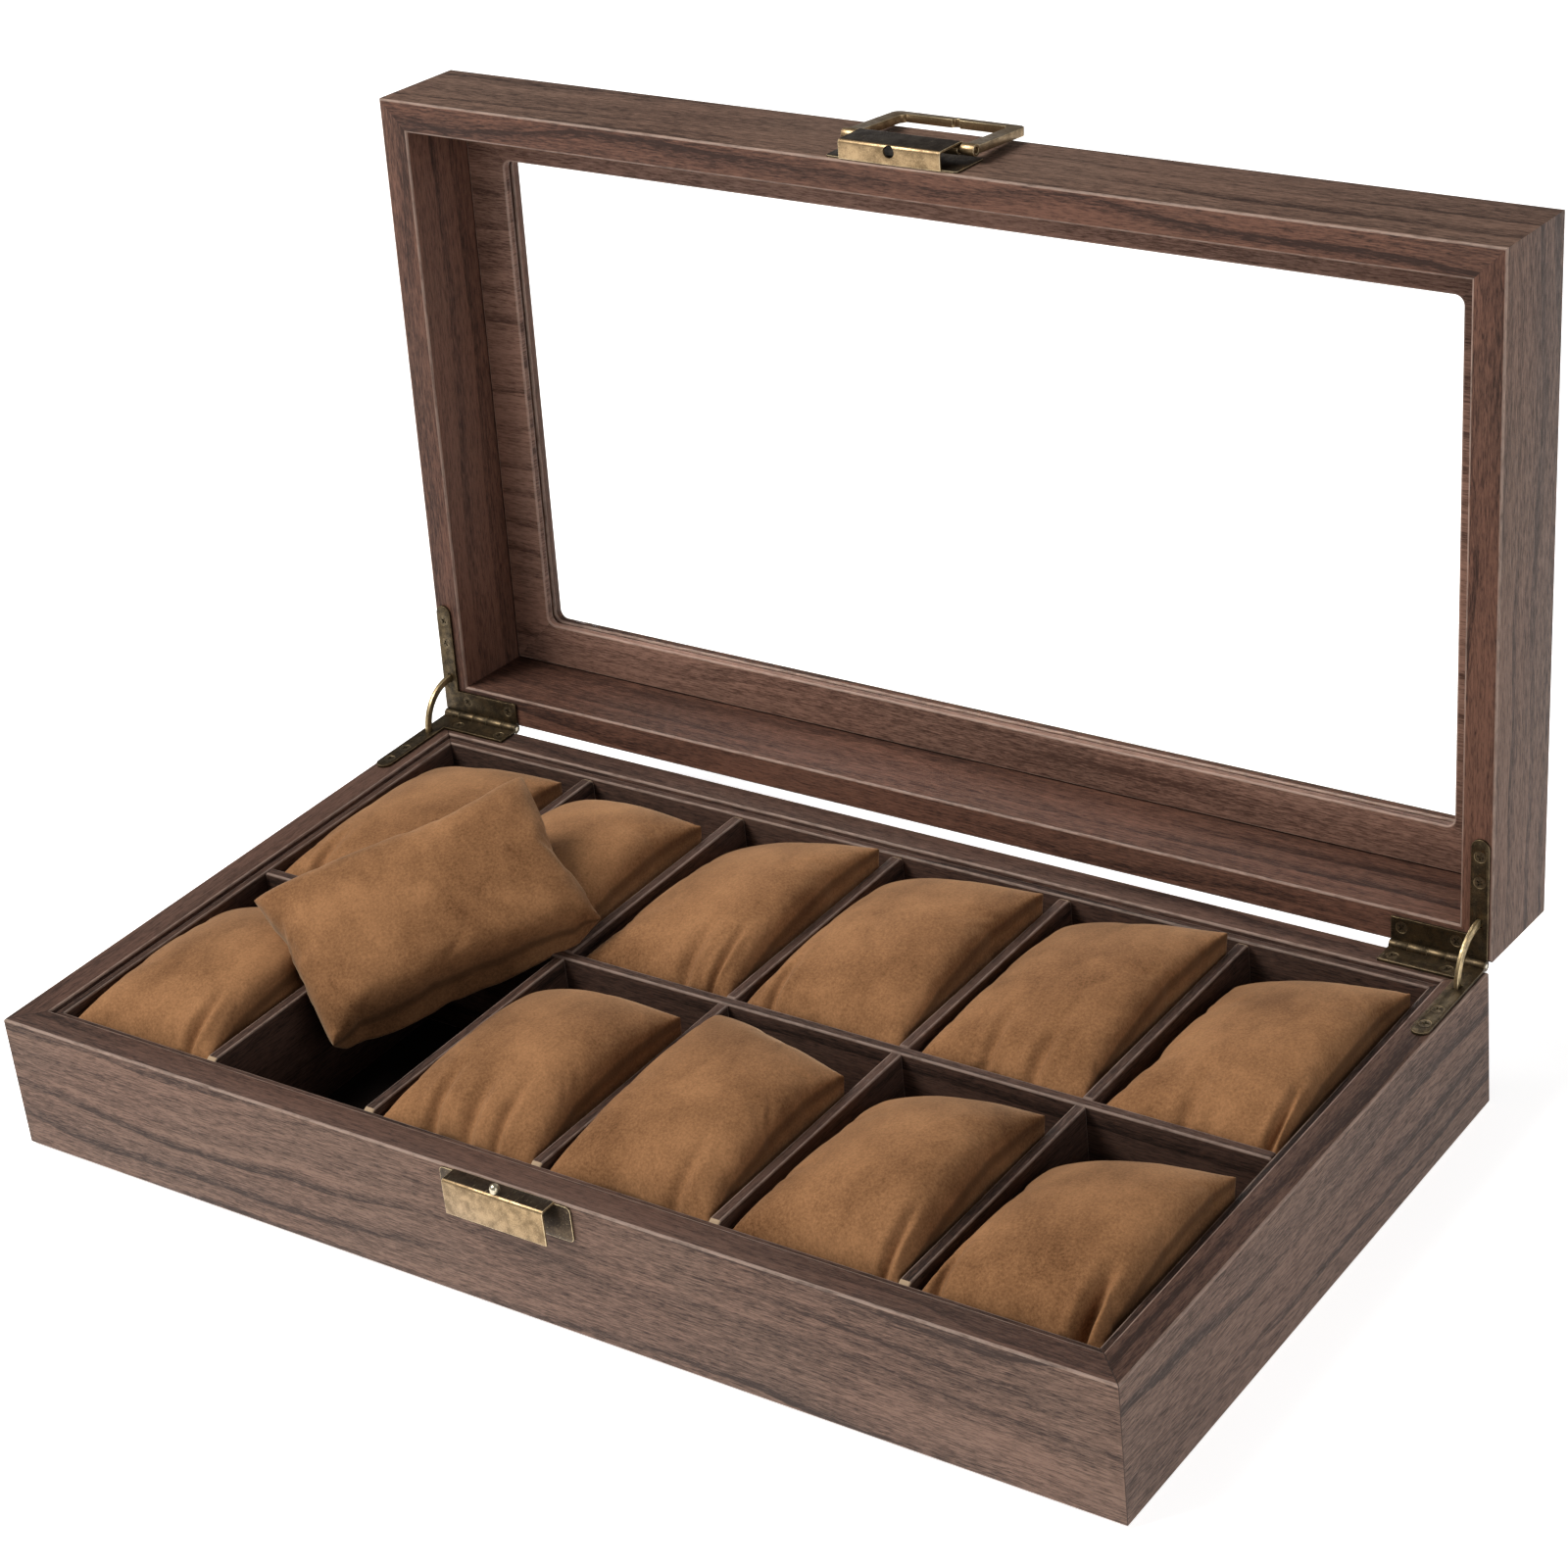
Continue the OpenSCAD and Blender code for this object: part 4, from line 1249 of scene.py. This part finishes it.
# Ripples in the cloth before it is inflated, to make it crease: how many, their height in
# metres, and how close they are
RIPPLES = 6
RIPPLE_HEIGHT = 0.004
RIPPLE_RATE = 6
CUTS = ((54, 84, 3.0, 0.02, 15, 1), (54, 84, 5.0, 0.2, 15, 2), (55, 83, 3.6, 0.05, 12, 7),
        (53, 84, 4.2, 0.03, 18, 5))
LOOSE_CUT = (54, 85, 3.4, 0.03, 15, 9)
# Share of the even form in a pillow, and how boxy that form is
SLOT_PLUMP = (0.72, 2.2)
LOOSE_PLUMP = (0.62, 2.8)
# Share of a quarter turn over which the even form curves, and how round its crown is
EVEN_BEND = 0.84
EVEN_CROWN = 1.4
# Sag of the pillow on top past its lower long seam, how far that seam rises, and the depth of
# the puckers along it and at the left end, in millimetres
SAG = 4.2
SEAM_RISE = 1.6
PUCKER_SIDE = 0.55
PUCKER_END = 0.6
# Degrees by which the pillow on top is turned, one after the other
LOOSE_TURNS = ((58.6, "Z"), (-8.9, "Y"), (33.4, "X"))

# A pillow in its compartment, in millimetres: room beside it and before it, its underside, its
# seam at the front and the bow of the seam
SIDE_ROOM = 0.35
FRONT_ROOM = 1.0
PILLOW_BOTTOM = CELL_HI[2] + 0.4
FRONT_Z = RIM_Z - 5.0
SEAM_BOW = 2.6
# Shares by which the top is lower at the back corners
TIP_LEFT = 0.3
TIP_RIGHT = 0.6
# Share of the lower panel that lies flat on the floor, and how much narrower it is there
FLAT_PART = 0.55
NARROWER = 0.24
# Row and column: cut; mirroring, lean to the right, rise above the rim, places and heights of
# the left and right back corner, creases at the front end (place across, width, depth)
SLOT_LOOKS = {
    ("front", 1): (1, (1, 1, 0.05, 9.0, (25, 25), (33.0, 40.0), ((0.55, 0.05, 2.4),))),
    ("front", 3): (0, (1, -1, 0.03, 11.0, (26, 25), (34.0, 41.0),
                       ((-0.28, 0.045, 2.6), (0.08, 0.06, 2.6), (0.4, 0.04, 2.2)))),
    ("front", 4): (2, (-1, 1, -0.06, 11.5, (34, 20), (38.0, 41.5), ((0.5, 0.05, 1.6),))),
    ("front", 5): (3, (1, 1, 0.2, 10.5, (25, 27), (31.0, 41.5), ((0.62, 0.06, 2.2),))),
    ("front", 6): (0, (-1, 1, 0.08, 9.0, (21, 24), (31.0, 42.0),
                       ((-0.72, 0.05, 2.6), (0.62, 0.07, 5.5)))),
    ("back", 1): (2, (1, 1, 0.0, 7.4, (31, 31), (33.0, 40.0), ((-0.4, 0.05, 2.2),))),
    ("back", 2): (3, (-1, -1, -0.05, 11.5, (28, 25), (34.0, 41.0),
                      ((0.1, 0.05, 2.0), (0.45, 0.05, 2.0)))),
    ("back", 3): (1, (-1, 1, 0.2, 8.5, (28, 34), (31.0, 42.0),
                      ((0.15, 0.05, 2.0), (0.5, 0.04, 2.4)))),
    ("back", 4): (0, (1, 1, -0.08, 9.2, (31, 32), (33.0, 42.0), ((-0.5, 0.05, 2.0),))),
    ("back", 5): (2, (1, -1, 0.0, 8.2, (33, 35), (32.0, 42.0),
                      ((0.3, 0.05, 2.0), (-0.15, 0.04, 1.6)))),
    ("back", 6): (1, (1, -1, 0.2, 7.4, (29, 32), (30.5, 40.0),
                      ((-0.2, 0.05, 1.6), (0.7, 0.06, 2.6)))),
}


def store_vectors(mesh, name, values):
    layer = mesh.attributes.new(name, "FLOAT_VECTOR", "POINT")
    layer.data.foreach_set("vector", np.ascontiguousarray(values, dtype=float).ravel())


def read_vectors(source, kind):
    values = np.empty(len(source) * 3)
    source.foreach_get(kind, values)
    return values.reshape(-1, 3)


def read_points(mesh):
    return read_vectors(mesh.vertices, "co")


def read_panel(mesh):
    """Where each point lies on its panel, from -1 to 1 across and along, and which panel."""
    return read_vectors(mesh.attributes["panel"].data, "vector")


def write_points(mesh, points):
    mesh.vertices.foreach_set("co", np.ascontiguousarray(points, dtype=float).ravel())
    mesh.update()


def sewn_panels(name, width, length):
    """Two panels of cloth with slightly bowed sides, joined along their borders, in metres."""
    nx, ny = round(width / (CLOTH_STEP * MM)), round(length / (CLOTH_STEP * MM))
    bm = bmesh.new()
    points, panel = {}, []

    def point(i, j, side):
        border = i in (0, nx) or j in (0, ny)
        key = (i, j, 0 if border else side)
        if key not in points:
            x, y = 2 * i / nx - 1, 2 * j / ny - 1
            z = 0.0 if border else side * CLOTH_BULGE * MM * math.sqrt((1 - x * x) * (1 - y * y))
            wide = x * (1 + CLOTH_BOW * (1 - y * y))
            deep = y * (1 + CLOTH_BOW * 0.7 * (1 - x * x))
            points[key] = bm.verts.new((wide * width / 2, deep * length / 2, z))
            panel.append((x, y, key[2]))
        return points[key]

    for side in (1, -1):
        for i in range(nx):
            for j in range(ny):
                quad = [point(i, j, side), point(i + 1, j, side),
                        point(i + 1, j + 1, side), point(i, j + 1, side)]
                bm.faces.new(quad if side > 0 else quad[::-1])
    mesh = as_mesh(bm, name)
    store_vectors(mesh, "panel", panel)
    return mesh


def inflated(name, cut):
    """A stuffed pillow from two panels stitched together, by cloth simulation. Returns its mesh in metres.
    """
    width, length, pressure, bending, stiffness, seed = cut
    scene = bpy.context.scene
    mesh = sewn_panels(name, width * MM, length * MM)
    points = read_points(mesh) * CLOTH_SCALE
    for kx, ky, phase, size in np.random.default_rng(seed).normal(0, 1, (RIPPLES, 4)):
        wave = np.sin(points[:, 0] * kx * RIPPLE_RATE + points[:, 1] * ky * RIPPLE_RATE + phase * 3)
        points[:, 2] += RIPPLE_HEIGHT * size * wave * np.sign(points[:, 2])
    write_points(mesh, points)
    obj = place_object(name, mesh)
    cloth = obj.modifiers.new("cloth", "CLOTH")
    look = cloth.settings
    look.quality, look.mass = 6, 0.25
    look.use_pressure, look.uniform_pressure_force = True, pressure
    look.tension_stiffness = look.compression_stiffness = stiffness
    look.shear_stiffness, look.bending_stiffness = stiffness * 0.4, bending
    look.tension_damping = look.compression_damping = look.shear_damping = 5
    look.bending_damping, look.air_damping = 0.5, 3
    look.effector_weights.gravity = 0
    cloth.collision_settings.use_collision = False
    cloth.point_cache.frame_start, cloth.point_cache.frame_end = 1, CLOTH_FRAMES
    for number in range(1, CLOTH_FRAMES + 1):
        scene.frame_set(number)
    made = evaluated(obj, name)
    scene.frame_set(1)
    write_points(made, read_points(made) / CLOTH_SCALE)
    return made


def smooth_step(value):
    value = np.clip(value, 0, 1)
    return value * value * (3 - 2 * value)


def plumped(points, panel, share, full):
    """Blends a simulated pillow with an evenly stuffed one, so its borders run straighter.
    A fuller one is boxier."""
    p, q, side = panel.T
    size = np.abs(points).max(0)
    bend = EVEN_BEND * math.pi / 2
    dome = ((1 - np.abs(p) ** full) * (1 - np.abs(q) ** full)) ** (EVEN_CROWN / full)
    plain = np.stack([np.sin(p * bend) / math.sin(bend) * size[0],
                      np.sin(q * bend) / math.sin(bend) * size[1], side * dome * size[2]], 1)
    return points * (1 - share) + plain * share


def creased(points, panel, creases):
    """Presses short creases with soft ridges beside them into the top at the front end."""
    ridge_place, ridge_height, pull = 2.2, 0.35, 0.4
    p, q, side = panel.T
    fade = smooth_step((-0.25 - q) / 0.6) * (side >= 0)
    for place, width, depth in creases:
        furrow = np.exp(-((p - place) / width) ** 2)
        ridge = np.exp(-((np.abs(p - place) - ridge_place * width) / width) ** 2)
        points[:, 2] -= depth * fade * (furrow - ridge_height * ridge)
        points[:, 1] += pull * depth * fade * furrow
    return points


def in_slot(points, panel, look):
    """Presses an inflated pillow into its compartment. Points in millimetres from its middle."""
    mirror_x, mirror_y, lean, rise, (left_y, right_y), (left_z, right_z), creases = look
    mirror = np.array([mirror_x, mirror_y, 1])
    panel = panel * mirror
    x, y, z = plumped(points * mirror, panel, *SLOT_PLUMP).T
    half_w = CELL_W / 2 - SIDE_ROOM
    front_y = -CELL_L / 2 + FRONT_ROOM
    u, v = x / np.abs(x).max(), y / np.abs(y).max()
    u = u + lean * (1 - u * u)
    front, back = (1 - v) / 2, (1 + v) / 2
    left, right = (1 - u) / 2, (1 + u) / 2
    length = left * left_y + right * right_y - front_y
    x = u * half_w
    y = front_y + back * length

    # The seam rises to the back, and the top fills out above it, less so at the back corners
    seam = (front * FRONT_Z + back * (left * left_z + right * right_z)
            + SEAM_BOW * (1 - v * v) * (0.5 + right))
    middle = (FRONT_Z + (left_z + right_z) / 2) / 2 + SEAM_BOW
    top = np.where(z > 0, z / z.max(), 0) * (RIM_Z + rise - middle)
    top *= 1 - TIP_RIGHT * (right * back) ** 3 - TIP_LEFT * (left * back) ** 3

    # The lower panel runs down to the floor in a round, and lies flat there
    ring = np.abs(panel[:, :2]).max(1)
    below = np.where(panel[:, 2] < 0, np.clip((1 - ring) / (1 - FLAT_PART), 0, 1), 0)
    under = 0.9 * np.sin(below * math.pi / 2) + np.where(z < 0, 0.1 * z / z.min(), 0)
    height = (seam + top) * (1 - under) + PILLOW_BOTTOM * under
    calm = smooth_step(below * 4.5)
    narrow = 1 - NARROWER * (1 - np.cos(below * math.pi / 2))
    even_x, even_y = (panel[:, :2] / np.maximum(ring, FLAT_PART)[:, None]).T
    x += (even_x * half_w * narrow - x) * calm
    y += (front_y + (0.5 + even_y * narrow * 0.5) * length - y) * calm
    return creased(np.stack([x, y, height], 1), panel, creases)


def slumped(points, panel):
    """Lets the filling sag past the seam of the lower long side, and puckers that side and
    the left end. Points in millimetres, their long side along the first axis."""
    low, along, side = -panel[:, 0], panel[:, 1], panel[:, 2]
    near = smooth_step((low - 0.25) / 0.6) * (1 - along**4)
    points[:, 1] -= np.where(side < 0, SAG, 0.0) * near * np.clip((1 - low) / 0.1, 0, 1)
    points[:, 2] += np.where(side < 0, 0.0, SEAM_RISE) * near
    rim = smooth_step((low - 0.55) / 0.4) * smooth_step((1 - np.abs(along)) / 0.15)
    end = smooth_step((-along - 0.6) / 0.35) * smooth_step((1 - np.abs(low)) / 0.2)
    points[:, 2] += PUCKER_SIDE * rim * np.sin(along * 17 + 1.5 * np.sin(along * 7))
    points[:, 2] += PUCKER_END * end * np.sin(low * 15 + 1.2 * np.sin(low * 5))
    return points


def finish_pillow(node, mesh, cloth):
    """Stores the cloth's own coordinates, subdivides once and adds the piece."""
    name = f"{node}_suede"
    store_vectors(mesh, "cloth", cloth)
    obj = place_object(name, mesh)
    step = obj.modifiers.new("smooth", "SUBSURF")
    step.levels = step.render_levels = 1
    piece = add_piece(name, evaluated(obj, name), node, "suede", [node], smooth=0)
    return piece


class WATCHBOX_OT_slot_pillows(bpy.types.Operator):
    """Makes the eleven pillows in their compartments"""
    bl_idname = "watchbox.slot_pillows"
    bl_label = "Pillows in the compartments"

    def execute(self, context):
        forms = [inflated(f"cut_{number}", cut) for number, cut in enumerate(CUTS)]
        for index, ((row, column), (cut, look)) in enumerate(SLOT_LOOKS.items()):
            x = -INNER_W / 2 + CELL_W * (column - 0.5) + DIVIDER_T * (column - 1)
            y = (CELL_L + DIVIDER_T) / 2 * (-1 if row == "front" else 1)
            mesh = forms[cut].copy()
            if look[0] * look[1] < 0:
                mesh.flip_normals()
            shaped = in_slot(read_points(mesh) / MM, read_panel(mesh), look)
            shaped = (shaped + np.array([x, y, 0])) * MM
            write_points(mesh, shaped)
            finish_pillow(f"pillow_{row}_{column}", mesh, shaped + (0.0, 0.0, 0.3 * index))
        for mesh in forms:
            bpy.data.meshes.remove(mesh)
        return {"FINISHED"}


class WATCHBOX_OT_loose_pillow(bpy.types.Operator):
    """Makes the pillow that lies across its neighbours"""
    bl_idname = "watchbox.loose_pillow"
    bl_label = "Pillow on top"

    def execute(self, context):
        mesh = inflated("loose", LOOSE_CUT)
        panel = read_panel(mesh)
        points = plumped(read_points(mesh), panel, *LOOSE_PLUMP)[:, [1, 0, 2]]
        mesh.flip_normals()
        size = [size_mm(name) for name in ("pillow_l", "pillow_w", "pillow_t")]
        points *= np.array(size) / (points.max(0) - points.min(0))
        points = slumped(points, panel) * MM
        lo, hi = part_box("pillow_loose")
        place = Matrix.Translation((lo + hi) / 2)
        for angle, axis in LOOSE_TURNS:
            place = place @ turn(angle, axis)
        write_points(mesh, points)
        mesh.transform(place)
        piece = finish_pillow("pillow_loose", mesh, points + (0.0, 0.0, 5.0))
        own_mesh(piece)
        return {"FINISHED"}


OPERATORS = (
    WATCHBOX_OT_stage, WATCHBOX_OT_base_walls, WATCHBOX_OT_lid_rails, WATCHBOX_OT_glazing,
    WATCHBOX_OT_bottom, WATCHBOX_OT_insert, WATCHBOX_OT_hinges, WATCHBOX_OT_screws,
    WATCHBOX_OT_latch, WATCHBOX_OT_slot_pillows, WATCHBOX_OT_loose_pillow)


class WATCHBOX_PT_panel(bpy.types.Panel):
    """Lists the pieces of the watch box and their settings"""
    bl_idname = "WATCHBOX_PT_panel"
    bl_label = "Watch box"
    bl_space_type = "VIEW_3D"
    bl_region_type = "UI"
    bl_category = "Watch box"

    def draw(self, context):
        for kind in OPERATORS:
            self.layout.operator(kind.bl_idname)
        for setting in SETTINGS:
            group = getattr(context.scene, setting)
            for name in group.bl_rna.properties.keys():
                if name not in ("rna_type", "name"):
                    self.layout.prop(group, name)


CLASSES = (*SETTINGS.values(), *OPERATORS, WATCHBOX_PT_panel)


def register():
    for kind in CLASSES:
        bpy.utils.register_class(kind)
    for name, kind in SETTINGS.items():
        setattr(bpy.types.Scene, name, bpy.props.PointerProperty(type=kind))


def unregister():
    for name in SETTINGS:
        delattr(bpy.types.Scene, name)
    for kind in reversed(CLASSES):
        bpy.utils.unregister_class(kind)


def main():
    register()
    for kind in OPERATORS:
        group, name = kind.bl_idname.split(".")
        getattr(getattr(bpy.ops, group), name)()


if __name__ == "__main__":
    main()
